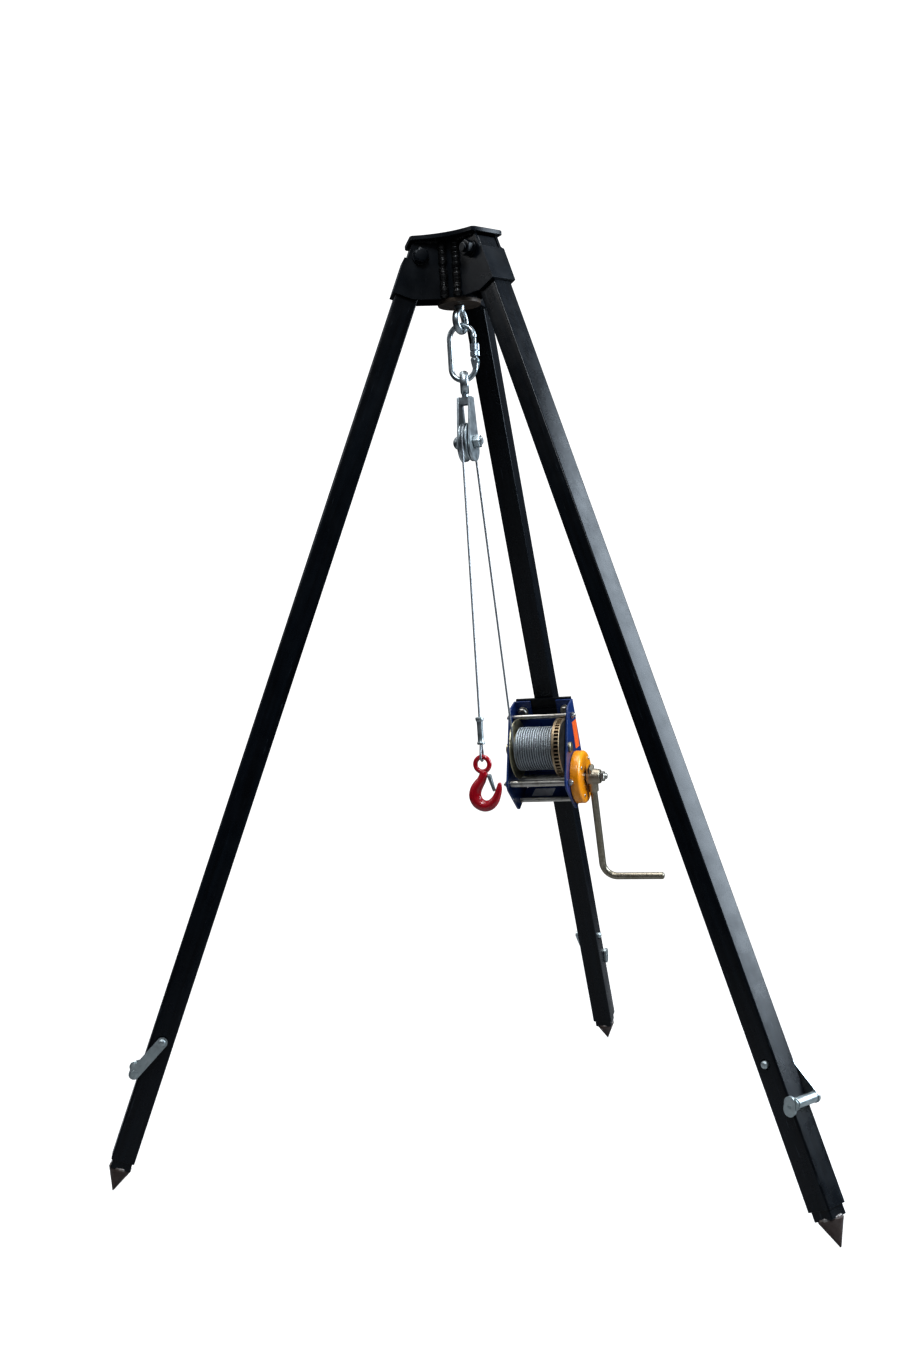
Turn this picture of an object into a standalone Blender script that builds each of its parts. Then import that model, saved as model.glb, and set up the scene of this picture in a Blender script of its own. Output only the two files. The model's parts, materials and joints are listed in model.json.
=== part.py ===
"""Tripod hoist with a hand winch: three telescopic square legs under a welded head, and a hoist line
of carabiner, pulley block, steel rope and hook. The winch sits on the rear leg, which lies along +Y.

Lengths are in metres. A leg's own frame has its origin at the head bolt, X sideways, Y outward and
Z up along the leg, so a distance down the leg is a negative Z.
"""

import math

import bmesh
import bpy
from mathutils import Matrix, Vector

GAP = 0.0003  # between meshes that touch
LINK_GAP = 0.0008  # between links that hang in each other

# Stance
TRIPOD_Y = -0.16666  # the tripod's axis, placed so that the whole object is centred on the origin
LEG_TILT = math.radians(21.84)
LEG_AZIMUTHS = {"rear": 90.0, "left": 210.0, "right": 330.0}
PIVOT_RADIUS = 0.0682
SPIKE_END = 1.6813  # from the head bolt to the point of the spike, along the leg
SPIKE_POINT_R = 0.0010
PIVOT_Z = SPIKE_END * math.cos(LEG_TILT) + SPIKE_POINT_R * math.sin(LEG_TILT)

# Head
PLATE_UNDER = PIVOT_Z + 0.0258
PLATE_THICK = 0.008
LOBE_RADIUS = 0.086
LOBE_HALF = 0.033
LOBE_SAG = 0.0106
COLUMN_R = 0.038
COLUMN_WALL = 0.005
COLUMN_BOTTOM = PIVOT_Z - 0.0736
DISC_THICK = 0.007
ARM_HALF = 0.026
ARM_WALL = 0.005
ARM_INNER_RADIUS = 0.0321
ARM_END = 0.075  # down the leg
WEB_TOP = 0.011
WEB_INSIDE = 0.0205
PIVOT_BOLT_R = 0.0078

# Legs
TUBE = 0.040
TUBE_WALL = 0.0025
TUBE_TOP = -0.014
TUBE_END = 1.626
INNER_TUBE = 0.034
INNER_TOP = 0.915
INNER_END = 1.6405
SPIKE_BASE_R = 0.0188
PIN_DOWN = 1.415
PIN_R = 0.0062
PIN_HOLE_R = 0.0078
HOLE_PITCH = 0.070
HOLE_COUNT = 7
LOCK_BAR_R = 0.008
LOCK_BAR_OUT = 0.0284
LOCK_BAR_DOWN = 0.063
LOCK_LINK_R = 0.009
LOCK_LINK_SIDE = 0.0235

# Hoist line, heights above the ground
EYE_Z = 1.4535
EYE_R = 0.0185
EYE_BAR_R = 0.00525
EYE_TURN = math.radians(-6.0)  # about the vertical, from the YZ plane
CARABINER_R = 0.02275  # of its round ends, to the middle of the bar
CARABINER_BAR_R = 0.00475
CARABINER_TOP = EYE_Z - EYE_R + EYE_BAR_R + LINK_GAP + CARABINER_BAR_R - CARABINER_R
CARABINER_STRAIGHT = 0.0505
CARABINER_LOW = CARABINER_TOP - CARABINER_STRAIGHT
GATE_HINGE_Z = CARABINER_LOW + 0.009
GATE_R = 0.0043
SLEEVE_R = 0.0083
BLOCK_EYE_R = 0.0160
BLOCK_EYE_BAR = 0.0055
BLOCK_EYE_TURN = math.radians(19.0)
BLOCK_EYE_Z = CARABINER_LOW - CARABINER_R + CARABINER_BAR_R + LINK_GAP - BLOCK_EYE_R + BLOCK_EYE_BAR
CHEEK_INSIDE = 0.0083
CHEEK_THICK = 0.004
CHEEK_TOP = 1.320
CHEEK_ROUND_Z = 1.2315
CHEEK_ROUND_R = 0.025
SHEAVE_Z = 1.241
SHEAVE_R = 0.034
SHEAVE_BORE = 0.007
ROPE_R = 0.002
ROPE_ON_SHEAVE = 0.032
FERRULE_TOP = 0.758
FERRULE_END = 0.710
HOOK_EYE_Z = 0.6755
HOOK_EYE_R = 0.0129
HOOK_EYE_BAR = 0.0042
LATCH_PIVOT = (0.0115, 0.6548)

# Winch, in the rear leg's frame
WINCH_INSIDE = 0.057  # half the space between its side plates
WINCH_PLATE = 0.004
WINCH_TOP = 0.845
WINCH_BASE_OUT = -0.0264
DRUM_OUT, DRUM_DOWN = -0.102, 0.9145
GEAR_MODULE = 0.0024
GEAR_TEETH = 46
PINION_TEETH = 15
MESH_DISTANCE = GEAR_MODULE * (GEAR_TEETH + PINION_TEETH) / 2
CRANK_ANGLE = math.radians(-9.8)  # from the drum's axis to the crank's, off the line of the leg
CRANK_OUT = DRUM_OUT - MESH_DISTANCE * math.sin(CRANK_ANGLE)
CRANK_DOWN = DRUM_DOWN + MESH_DISTANCE * math.cos(CRANK_ANGLE)
TIE_RODS = {"top": (-0.057, 0.867, 0.0048), "front": (-0.146, 0.969, 0.0065),
            "bottom": (-0.108, 1.025, 0.0050)}
TIE_NECK_R = 0.0036
TIE_NUT_R = 0.0062
MOUNT_BOLT_SIDE, MOUNT_BOLT_DOWN = 0.044, 0.866
HUB_R = 0.0348
FLANGE_R = 0.0585
WINDING_R = 0.043
DRUM_LEFT = -0.042
GEAR_LEFT, GEAR_RIGHT = 0.0403, 0.0553
DRUM_AXLE_R = 0.007
SHAFT_R = 0.0075
BORE_PLAY = 0.0006
COVER_R = 0.052
COVER_WALL = 0.0025
COVER_DEPTH = 0.0200
RATCHET_SIDE = 0.0640
HUB_LEFT, HUB_RIGHT = 0.0835, 0.1100
CRANK_SIDE = 0.0925
CRANK_ARM = 0.210
CRANK_LEAN = math.radians(9.0)  # the arm's lean from the line of the leg, inward
CRANK_BEND = 0.028
CRANK_GRIP = 0.122
CRANK_ROD_R = 0.007

# Colour, roughness and metallic value of each finish
FINISHES = {
    "black_paint": ((0.012, 0.014, 0.018), 0.42, 0.0),
    "bare_steel": ((0.115, 0.085, 0.070), 0.60, 0.7),
    "zinc": ((0.56, 0.60, 0.63), 0.32, 1.0),
    "rope_steel": ((0.40, 0.42, 0.43), 0.42, 0.9),
    "red_paint": ((0.42, 0.006, 0.020), 0.25, 0.0),
    "blue_paint": ((0.010, 0.050, 0.210), 0.38, 0.0),
    "yellow_paint": ((0.90, 0.36, 0.010), 0.35, 0.0),
    "yellow_zinc": ((0.46, 0.38, 0.20), 0.38, 1.0),
}


def clear_scene():
    for obj in list(bpy.data.objects):
        bpy.data.objects.remove(obj)


def make_materials():
    made = {}
    for name, (color, roughness, metallic) in FINISHES.items():
        material = bpy.data.materials.new(name)
        material.use_nodes = True
        shader = material.node_tree.nodes["Principled BSDF"]
        shader.inputs["Base Color"].default_value = (*color, 1.0)
        shader.inputs["Roughness"].default_value = roughness
        shader.inputs["Metallic"].default_value = metallic
        made[name] = material
    return made


# Placing ---------------------------------------------------------------------------------------


def add_empty(name, matrix, parent=None):
    empty = bpy.data.objects.new(name, None)
    empty.empty_display_size = 0.03
    bpy.context.scene.collection.objects.link(empty)
    empty.parent = parent
    empty.matrix_local = matrix
    return empty


def add_object(name, bm, finish, parent):
    """Turns bm into an object whose faces point out, shaded smooth with sharp edges kept."""
    bmesh.ops.recalc_face_normals(bm, faces=bm.faces)
    mesh = bpy.data.meshes.new(name)
    bm.to_mesh(mesh)
    bm.free()
    mesh.shade_smooth()
    mesh.set_sharp_from_angle(angle=math.radians(35))
    mesh.materials.append(MATERIALS[finish])
    obj = bpy.data.objects.new(name, mesh)
    bpy.context.scene.collection.objects.link(obj)
    obj.parent = parent
    return obj


def combine(obj, operation, helper):
    """Joins helper to obj, or cuts it away, with a Boolean, and hides helper."""
    helper.hide_render = True
    helper.display_type = "WIRE"
    modifier = obj.modifiers.new(helper.name, "BOOLEAN")
    modifier.operation = operation
    modifier.solver = "EXACT"
    modifier.object = helper


def bevel(obj, width):
    modifier = obj.modifiers.new("edge", "BEVEL")
    modifier.width = width
    modifier.segments = 1
    modifier.limit_method = "ANGLE"
    modifier.angle_limit = math.radians(60)


# Outlines --------------------------------------------------------------------------------------


def circle(centre, radius, count=14):
    step = 2 * math.pi / count
    return [(centre[0] + radius * math.cos(i * step), centre[1] + radius * math.sin(i * step))
            for i in range(count)]


def rounded_square(side, corner, steps=2):
    inner = side / 2 - corner
    points = []
    for quarter in range(4):
        start = quarter * math.pi / 2
        middle = start + math.pi / 4
        cx = math.copysign(inner, math.cos(middle))
        cy = math.copysign(inner, math.sin(middle))
        for i in range(steps + 1):
            angle = start + i * math.pi / 2 / steps
            points.append((cx + corner * math.cos(angle), cy + corner * math.sin(angle)))
    return points


def hull(points):
    """The convex outline around the points, anticlockwise."""
    ordered = sorted(set((round(a, 7), round(b, 7)) for a, b in points))

    def half(sequence):
        chain = []
        for p in sequence:
            while len(chain) > 1:
                (ax, ay), (bx, by) = chain[-2], chain[-1]
                if (bx - ax) * (p[1] - ay) - (by - ay) * (p[0] - ax) > 1e-9:
                    break
                chain.pop()
            chain.append(p)
        return chain[:-1]

    return half(ordered) + half(ordered[::-1])


def gear_outline(teeth, module, root_share, tip_share, turn=0.0):
    """Straight-sided teeth: the shares are of the pitch, at the root and at the tip."""
    pitch = 2 * math.pi / teeth
    root = module * teeth / 2 - 1.15 * module
    tip = module * teeth / 2 + 0.75 * module
    points = []
    for tooth in range(teeth):
        middle = turn + tooth * pitch
        for radius, offset in ((root, -root_share / 2), (tip, -tip_share / 2),
                               (tip, tip_share / 2), (root, root_share / 2)):
            angle = middle + offset * pitch
            points.append((radius * math.cos(angle), radius * math.sin(angle)))
    return points


# Solids ----------------------------------------------------------------------------------------


def to_space(a, b, c, normal):
    """Places an outline's point (a, b) at height c along the axis named normal."""
    return {"X": (c, a, b), "Y": (a, c, b), "Z": (a, b, c)}[normal]


def plate(outline, low, high, normal, holes=()):
    """A flat plate with straight edges and through holes."""
    bm = bmesh.new()
    for loop in (outline, *holes):
        verts = [bm.verts.new(to_space(a, b, low, normal)) for a, b in loop]
        for first, second in zip(verts, verts[1:] + verts[:1]):
            bm.edges.new((first, second))
    if holes:
        bmesh.ops.triangle_fill(bm, edges=bm.edges, use_beauty=True)
    else:
        bm.faces.new(bm.verts)
    side = bmesh.ops.extrude_face_region(bm, geom=list(bm.faces), use_keep_orig=True)
    moved = [item for item in side["geom"] if isinstance(item, bmesh.types.BMVert)]
    bmesh.ops.translate(bm, verts=moved, vec=to_space(0, 0, high - low, normal))
    return bm


def box(low, high):
    bm = bmesh.new()
    size = Vector(high) - Vector(low)
    centre = (Vector(high) + Vector(low)) / 2
    bmesh.ops.create_cube(bm, size=1.0, matrix=Matrix.Translation(centre) @ Matrix.Diagonal((*size, 1)))
    return bm


def section_scale(shape, index, count):
    """How far out a section reaches at one of its points: a hexagon's flats lie inside its circle."""
    if shape != "hex":
        return 1.0
    angle = (index / count * 6 % 1 - 0.5) * math.pi / 3
    return math.cos(math.pi / 6) / math.cos(angle)


def turned(sections, axis, centre=(0, 0, 0), sides=12, hollow=False):
    """A shape of sections (along, radius) or (along, radius, "hex") about an axis through centre.

    A hollow one's sections run along the outside and back along the bore.
    """
    bm = bmesh.new()
    rings = []
    for along, radius, *shape in sections:
        ring = []
        for i in range(sides):
            reach = radius * section_scale(shape[0] if shape else "", i, sides)
            angle = 2 * math.pi * i / sides
            point = Vector(to_space(reach * math.cos(angle), reach * math.sin(angle), along, axis))
            ring.append(bm.verts.new(point + Vector(centre)))
        rings.append(ring)
    pairs = list(zip(rings, rings[1:]))
    if hollow:
        pairs.append((rings[-1], rings[0]))
    else:
        bm.faces.new(rings[0])
        bm.faces.new(rings[-1])
    for first, second in pairs:
        for i in range(sides):
            j = (i + 1) % sides
            bm.faces.new((first[i], first[j], second[j], second[i]))
    return bm


def swept(path, radii, sides=8, closed=False, flatten=(1.0, 1.0)):
    """A bar along a flat path. flatten stretches its section across the path and along its normal."""
    points = [Vector(p) for p in path]
    count = len(points)
    plane_normal = (points[count // 3] - points[0]).cross(points[2 * count // 3] - points[0])
    plane_normal.normalize()
    bm = bmesh.new()
    rings = []
    for i, point in enumerate(points):
        before = points[i - 1] if closed or i else point
        after = points[(i + 1) % count] if closed or i < count - 1 else point
        across = plane_normal.cross((after - before).normalized())
        radius = radii[i] if isinstance(radii, list) else radii
        ring = []
        for k in range(sides):
            angle = 2 * math.pi * k / sides
            offset = across * (math.cos(angle) * flatten[0]) + plane_normal * (math.sin(angle) * flatten[1])
            ring.append(bm.verts.new(point + offset * radius))
        rings.append(ring)
    pairs = list(zip(rings, rings[1:]))
    if closed:
        pairs.append((rings[-1], rings[0]))
    else:
        bm.faces.new(rings[0])
        bm.faces.new(rings[-1])
    for first, second in pairs:
        for k in range(sides):
            m = (k + 1) % sides
            bm.faces.new((first[k], first[m], second[m], second[k]))
    return bm


def arc(centre, radius, start, end, steps):
    """Points of an arc in a plane, from one angle to another, in degrees."""
    return [(centre[0] + radius * math.cos(math.radians(start + (end - start) * i / steps)),
             centre[1] + radius * math.sin(math.radians(start + (end - start) * i / steps)))
            for i in range(steps + 1)]


def upright_ring(height, radius, turn, steps):
    """The points of a standing ring on the vertical axis, turned about it from the YZ plane."""
    return [(-a * math.sin(turn), a * math.cos(turn), b) for a, b in arc((0, height), radius, 0, 360, steps)[:-1]]


def smooth_curve(points, per_span):
    """A Catmull-Rom curve through the points, whatever their dimension."""
    padded = [points[0], *points, points[-1]]
    curve = []
    for p0, p1, p2, p3 in zip(padded, padded[1:], padded[2:], padded[3:]):
        for step in range(per_span):
            t = step / per_span
            curve.append(tuple(
                0.5 * (2 * b + (c - a) * t + (2 * a - 5 * b + 4 * c - d) * t * t
                       + (3 * b - a - 3 * c + d) * t ** 3)
                for a, b, c, d in zip(p0, p1, p2, p3)))
    return [*curve, tuple(points[-1])]


def rope_piece(name, points, parent):
    """A stretch of rope: a curve with a round bevel and filled ends."""
    data = bpy.data.curves.new(name, "CURVE")
    data.dimensions = "3D"
    data.bevel_depth = ROPE_R
    data.bevel_resolution = 2
    data.use_fill_caps = True
    spline = data.splines.new("POLY")
    spline.points.add(len(points) - 1)
    for target, point in zip(spline.points, points):
        target.co = (*point, 1.0)
    data.materials.append(MATERIALS["rope_steel"])
    obj = bpy.data.objects.new(name, data)
    bpy.context.scene.collection.objects.link(obj)
    obj.parent = parent
    return obj


# Head ------------------------------------------------------------------------------------------


def build_top_plate(parent):
    outline = []
    corner = Vector((LOBE_RADIUS, LOBE_HALF))
    for azimuth in LEG_AZIMUTHS.values():
        here = Matrix.Rotation(math.radians(azimuth), 2)
        following = Matrix.Rotation(math.radians(azimuth + 120), 2)
        start = here @ corner
        end = following @ Vector((LOBE_RADIUS, -LOBE_HALF))
        inward = -(start + end).normalized()
        cut = 0.004
        outline.append(here @ Vector((LOBE_RADIUS, -LOBE_HALF + cut)))
        outline.append(here @ Vector((LOBE_RADIUS, LOBE_HALF - cut)))
        for i in range(9):
            t = i / 8
            point = start.lerp(end, 0.03 + 0.94 * t)
            outline.append(point + inward * LOBE_SAG * (1 - (2 * t - 1) ** 2))
    body = plate([tuple(p) for p in outline], PLATE_UNDER, PLATE_UNDER + PLATE_THICK, "Z")
    bevel(add_object("top_plate", body, "black_paint", parent), 0.0012)


def build_column(parent):
    low, high = COLUMN_BOTTOM + GAP, PLATE_UNDER - GAP
    inner = COLUMN_R - COLUMN_WALL
    tube = turned([(low, COLUMN_R), (high, COLUMN_R), (high, inner), (low, inner)], "Z", sides=28, hollow=True)
    add_object("centre_column", tube, "black_paint", parent)
    low, high = COLUMN_BOTTOM - DISC_THICK, COLUMN_BOTTOM
    hole = EYE_BAR_R + 0.0015
    disc = turned([(low, COLUMN_R - 0.001), (low + 0.001, COLUMN_R), (high, COLUMN_R), (high, hole),
                   (low, hole)], "Z", sides=28, hollow=True)
    add_object("bottom_disc", disc, "bare_steel", parent)


def from_leg(out, down):
    """A point of the leg's frame as (radius from the tripod's axis, height)."""
    sin, cos = math.sin(LEG_TILT), math.cos(LEG_TILT)
    return (PIVOT_RADIUS + out * cos + down * sin, PIVOT_Z + out * sin - down * cos)


def build_arm(which, parent, leg_frame):
    top = PLATE_UNDER - GAP
    tan = math.tan(LEG_TILT)
    edge = WEB_INSIDE - GAP
    web = WEB_INSIDE + ARM_WALL
    top_outer = from_leg(edge, 0.0)
    top_outer_radius = top_outer[0] - (top - top_outer[1]) * tan
    end_low = from_leg(0.0, ARM_END)
    end_radius = end_low[0] - (end_low[1] - COLUMN_BOTTOM) / tan
    outline = [(ARM_INNER_RADIUS, top), (ARM_INNER_RADIUS, COLUMN_BOTTOM), (end_radius, COLUMN_BOTTOM),
               from_leg(web, ARM_END), from_leg(web, WEB_TOP), from_leg(edge, WEB_TOP),
               (top_outer_radius, top)]
    arm = add_object(f"arm_{which}", plate(outline, -ARM_HALF, ARM_HALF, "X"), "black_paint", parent)
    slot = ARM_HALF - ARM_WALL
    space = box((-slot, -0.2, -0.2), (slot, WEB_INSIDE, 0.2))
    combine(arm, "DIFFERENCE", add_object(f"arm_space_{which}", space, "black_paint", leg_frame))
    hole = turned([(-0.05, PIVOT_BOLT_R + 0.0006), (0.05, PIVOT_BOLT_R + 0.0006)], "X")
    combine(arm, "DIFFERENCE", add_object(f"arm_hole_{which}", hole, "black_paint", leg_frame))


def build_pivot_bolt(which, leg_frame):
    face = ARM_HALF + GAP
    washer, head, nut = face + 0.003, face + 0.013, face + 0.015
    sections = [(-head, 0.0118), (-head + 0.0015, 0.0138, "hex"), (-washer, 0.0138, "hex"), (-washer, 0.015),
                (-face, 0.015), (-face, PIVOT_BOLT_R), (face, PIVOT_BOLT_R), (face, 0.015), (washer, 0.015),
                (washer, 0.0138, "hex"), (nut, 0.0138, "hex"), (nut, PIVOT_BOLT_R),
                (nut + 0.005, PIVOT_BOLT_R - 0.001)]
    add_object(f"pivot_bolt_{which}", turned(sections, "X"), "black_paint", leg_frame)


def build_lifting_eye(parent):
    ring = upright_ring(EYE_Z, EYE_R, EYE_TURN, 18)
    eye = add_object("lifting_eye", swept(ring, EYE_BAR_R, closed=True), "zinc", parent)
    under = COLUMN_BOTTOM - DISC_THICK - GAP
    shank = turned([(under - 0.011, 0.0062), (under - 0.006, 0.009), (under, 0.009), (under, 0.0055),
                    (COLUMN_BOTTOM + 0.012, 0.0055)], "Z")
    combine(eye, "UNION", add_object("lifting_eye_shank", shank, "zinc", parent))


# Legs ------------------------------------------------------------------------------------------


def build_leg(which, leg_frame):
    outer = plate(rounded_square(TUBE, 0.003), -TUBE_END, -TUBE_TOP, "Z",
                  [rounded_square(TUBE - 2 * TUBE_WALL, 0.0008, 1)])
    tube = add_object(f"leg_tube_{which}", outer, "black_paint", leg_frame)
    for name, down, radius in (("bolt", 0.0, PIVOT_BOLT_R + 0.0006), ("pin", PIN_DOWN, PIN_HOLE_R)):
        hole = turned([(-0.05, radius), (0.05, radius)], "X", (0, 0, -down), 12)
        combine(tube, "DIFFERENCE", add_object(f"{name}_hole_{which}", hole, "black_paint", leg_frame))

    inner = plate(rounded_square(INNER_TUBE, 0.0025), -INNER_END, -INNER_TOP, "Z",
                  [rounded_square(INNER_TUBE - 2 * TUBE_WALL, 0.0008, 1)])
    inner_tube = add_object(f"inner_leg_{which}", inner, "black_paint", leg_frame)
    for i in range(HOLE_COUNT):
        place = (0, 0, -PIN_DOWN + i * HOLE_PITCH)
        hole = turned([(-0.05, PIN_HOLE_R), (0.05, PIN_HOLE_R)], "X", place, 6)
        combine(inner_tube, "DIFFERENCE", add_object(f"row_hole_{which}_{i}", hole, "black_paint", leg_frame))

    base = INNER_END + GAP
    spike = turned([(-base, SPIKE_BASE_R - 0.001), (-base - 0.001, SPIKE_BASE_R), (-base - 0.003, SPIKE_BASE_R),
                    (-SPIKE_END, SPIKE_POINT_R)], "Z", sides=20)
    add_object(f"foot_spike_{which}", spike, "bare_steel", leg_frame)


def build_lock(which, leg_frame):
    """The lock pin with its link plate, cross bar and end plate, welded into one swinging piece."""
    frame = add_empty(f"lock_frame_{which}", Matrix.Translation((0, 0, -PIN_DOWN)), leg_frame)
    near, far = -LOCK_LINK_SIDE, -LOCK_LINK_SIDE - 0.004
    pin = turned([(far - 0.001, PIN_R - 0.001), (far, PIN_R), (0.0225, PIN_R), (0.0248, PIN_R - 0.001),
                  (0.0262, PIN_R - 0.0032)], "X")
    lock = add_object(f"lock_pin_{which}", pin, "zinc", frame)
    bar_place = (LOCK_BAR_OUT, -LOCK_BAR_DOWN)
    link_outline = hull(circle((0, 0), LOCK_LINK_R) + circle(bar_place, LOCK_LINK_R))
    link = add_object(f"lock_link_{which}", plate(link_outline, far, near, "X"), "zinc", frame)
    bar = turned([(-0.034, LOCK_BAR_R - 0.001), (-0.033, LOCK_BAR_R), (0.0235, LOCK_BAR_R)], "X",
                 (0, *bar_place))
    bar = add_object(f"lock_bar_{which}", bar, "zinc", frame)
    oval = hull(circle((0.0225, -0.0600), 0.0100) + circle((0.0170, -0.0690), 0.0100))
    end = add_object(f"lock_end_{which}", plate(oval, TUBE / 2 + 0.0006, TUBE / 2 + 0.0046, "X"), "zinc", frame)
    for piece in (link, bar, end):
        combine(lock, "UNION", piece)


# Hoist line ------------------------------------------------------------------------------------


def build_carabiner(parent):
    path = [(CARABINER_R, CARABINER_TOP - 0.0015)]
    path += arc((0, CARABINER_TOP), CARABINER_R, 0, 180, 9)
    path += arc((0, CARABINER_LOW), CARABINER_R, 180, 360, 9)
    path += [(CARABINER_R, GATE_HINGE_Z - 0.0054)]
    body = swept([(x, 0, z) for x, z in path], CARABINER_BAR_R)
    add_object("carabiner_body", body, "zinc", parent)

    hinge = add_empty("gate_hinge", Matrix.Translation((CARABINER_R, 0, GATE_HINGE_Z)), parent)
    length = CARABINER_TOP - 0.0015 - 0.0007 - GATE_HINGE_Z
    knuckle = 0.0048
    rounding = [(-knuckle * math.cos(math.radians(a)), knuckle * math.sin(math.radians(a))) for a in (15, 40, 65)]
    gate = turned([*rounding, (0, knuckle), (0.003, knuckle), (0.0042, GATE_R), (length - 0.0008, GATE_R),
                   (length, GATE_R - 0.0008)], "Z")
    add_object("carabiner_gate", gate, "zinc", hinge)
    bore = GATE_R + 0.0005
    sleeve = turned([(0.0072, SLEEVE_R - 0.0008), (0.008, SLEEVE_R), (0.0152, SLEEVE_R), (0.016, 0.0068),
                     (0.0172, 0.0068), (0.018, SLEEVE_R), (0.0286, SLEEVE_R), (0.0294, SLEEVE_R - 0.0008),
                     (0.0294, bore), (0.0072, bore)], "Z", sides=14, hollow=True)
    add_object("carabiner_sleeve", sleeve, "zinc", hinge)


def build_block(parent):
    ring = upright_ring(BLOCK_EYE_Z, BLOCK_EYE_R, BLOCK_EYE_TURN, 16)
    eye = add_object("block_eye", swept(ring, BLOCK_EYE_BAR, closed=True, flatten=(1.0, 1.2)), "zinc", parent)
    shank = turned([(CHEEK_TOP - 0.0125, 0.006), (CHEEK_TOP + 0.006, 0.006)], "Z")
    combine(eye, "UNION", add_object("block_eye_shank", shank, "zinc", parent))

    top_corners = circle((0.008, CHEEK_TOP - 0.003), 0.003, 8) + circle((-0.008, CHEEK_TOP - 0.003), 0.003, 8)
    outline = hull(top_corners + circle((0, CHEEK_ROUND_Z), CHEEK_ROUND_R, 24))
    axle_hole = circle((0, SHEAVE_Z), SHEAVE_BORE)
    outside = CHEEK_INSIDE + CHEEK_THICK
    frame = add_object("block_frame", plate(outline, CHEEK_INSIDE, outside, "X", [axle_hole]), "zinc", parent)
    other = plate(outline, -outside, -CHEEK_INSIDE, "X", [axle_hole])
    head_outline = [(-CHEEK_INSIDE - 0.001, -0.009), (CHEEK_INSIDE + 0.001, -0.009),
                    (CHEEK_INSIDE + 0.001, 0.009), (-CHEEK_INSIDE - 0.001, 0.009)]
    crosshead = plate(head_outline, CHEEK_TOP - 0.0135, CHEEK_TOP - 0.001, "Z", [circle((0, 0), 0.0064)])
    combine(frame, "UNION", add_object("block_crosshead", crosshead, "zinc", parent))
    combine(frame, "UNION", add_object("block_cheek", other, "zinc", parent))

    axle = add_empty("sheave_axle", Matrix.Translation((0, 0, SHEAVE_Z)), parent)
    root, mouth = ROPE_ON_SHEAVE - ROPE_R - 2 * GAP, 0.0052
    wheel = turned([(-0.007, SHEAVE_R), (-mouth, SHEAVE_R), (-0.0023, root), (0.0023, root), (mouth, SHEAVE_R),
                    (0.007, SHEAVE_R), (0.007, SHEAVE_BORE), (-0.007, SHEAVE_BORE)], "X", sides=28, hollow=True)
    add_object("block_sheave", wheel, "zinc", axle)
    shaft = SHEAVE_BORE - 0.0005
    face = outside + GAP
    bolt = turned([(-face - 0.0145, 0.004), (-face - 0.0135, 0.0075), (-face - 0.010, 0.0105),
                   (-face - 0.004, 0.0120), (-face, 0.0120), (-face, shaft), (face + 0.0130, shaft),
                   (face + 0.0145, shaft - 0.001)], "X")
    add_object("block_bolt", bolt, "zinc", axle)
    nut = turned([(face, 0.0122, "hex"), (face + 0.011, 0.0122, "hex"), (face + 0.011, shaft + GAP),
                  (face, shaft + GAP)], "X", hollow=True)
    add_object("block_nut", nut, "zinc", axle)


def crossed_tangent(centre_a, radius_a, centre_b, radius_b):
    """Where a rope leaves the far side of wheel a and meets the near side of wheel b, as (y, z)."""
    a, b = Vector(centre_a), Vector(centre_b)
    between = b - a
    turn = math.acos((radius_a + radius_b) / between.length)
    outward = (between.normalized().to_3d())
    outward.rotate(Matrix.Rotation(turn, 3, "Z"))
    outward = outward.to_2d()
    return a + outward * radius_a, b - outward * radius_b


def build_rope(parent):
    drum_y, drum_z = from_leg(DRUM_OUT, DRUM_DOWN)
    winding_middle = WINDING_R - ROPE_R
    leave, meet = crossed_tangent((0, SHEAVE_Z), ROPE_ON_SHEAVE, (drum_y, drum_z), winding_middle)
    leave_angle = math.degrees(math.atan2(leave.y - SHEAVE_Z, leave.x))
    half_gap = math.degrees(GAP / ROPE_ON_SHEAVE)
    bend = arc((0, SHEAVE_Z), ROPE_ON_SHEAVE, 180 - half_gap, leave_angle + half_gap, 12)
    rope_piece("rope_on_sheave", [(0, y, z) for y, z in bend], parent)

    start = Vector((0, leave.x, leave.y))
    end = Vector((DRUM_LEFT + 0.003, meet.x, meet.y))
    short_of_winding = 0.021 / (end - start).length
    steps = 20
    run = [start.lerp(end, i / steps * (1 - short_of_winding)) for i in range(steps + 1)]
    rope_piece("rope_run", run, parent)
    fall = [(0, -ROPE_ON_SHEAVE, FERRULE_TOP + GAP + (SHEAVE_Z - FERRULE_TOP - GAP) * i / 15)
            for i in range(15, -1, -1)]
    rope_piece("rope_fall", fall, parent)


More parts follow.
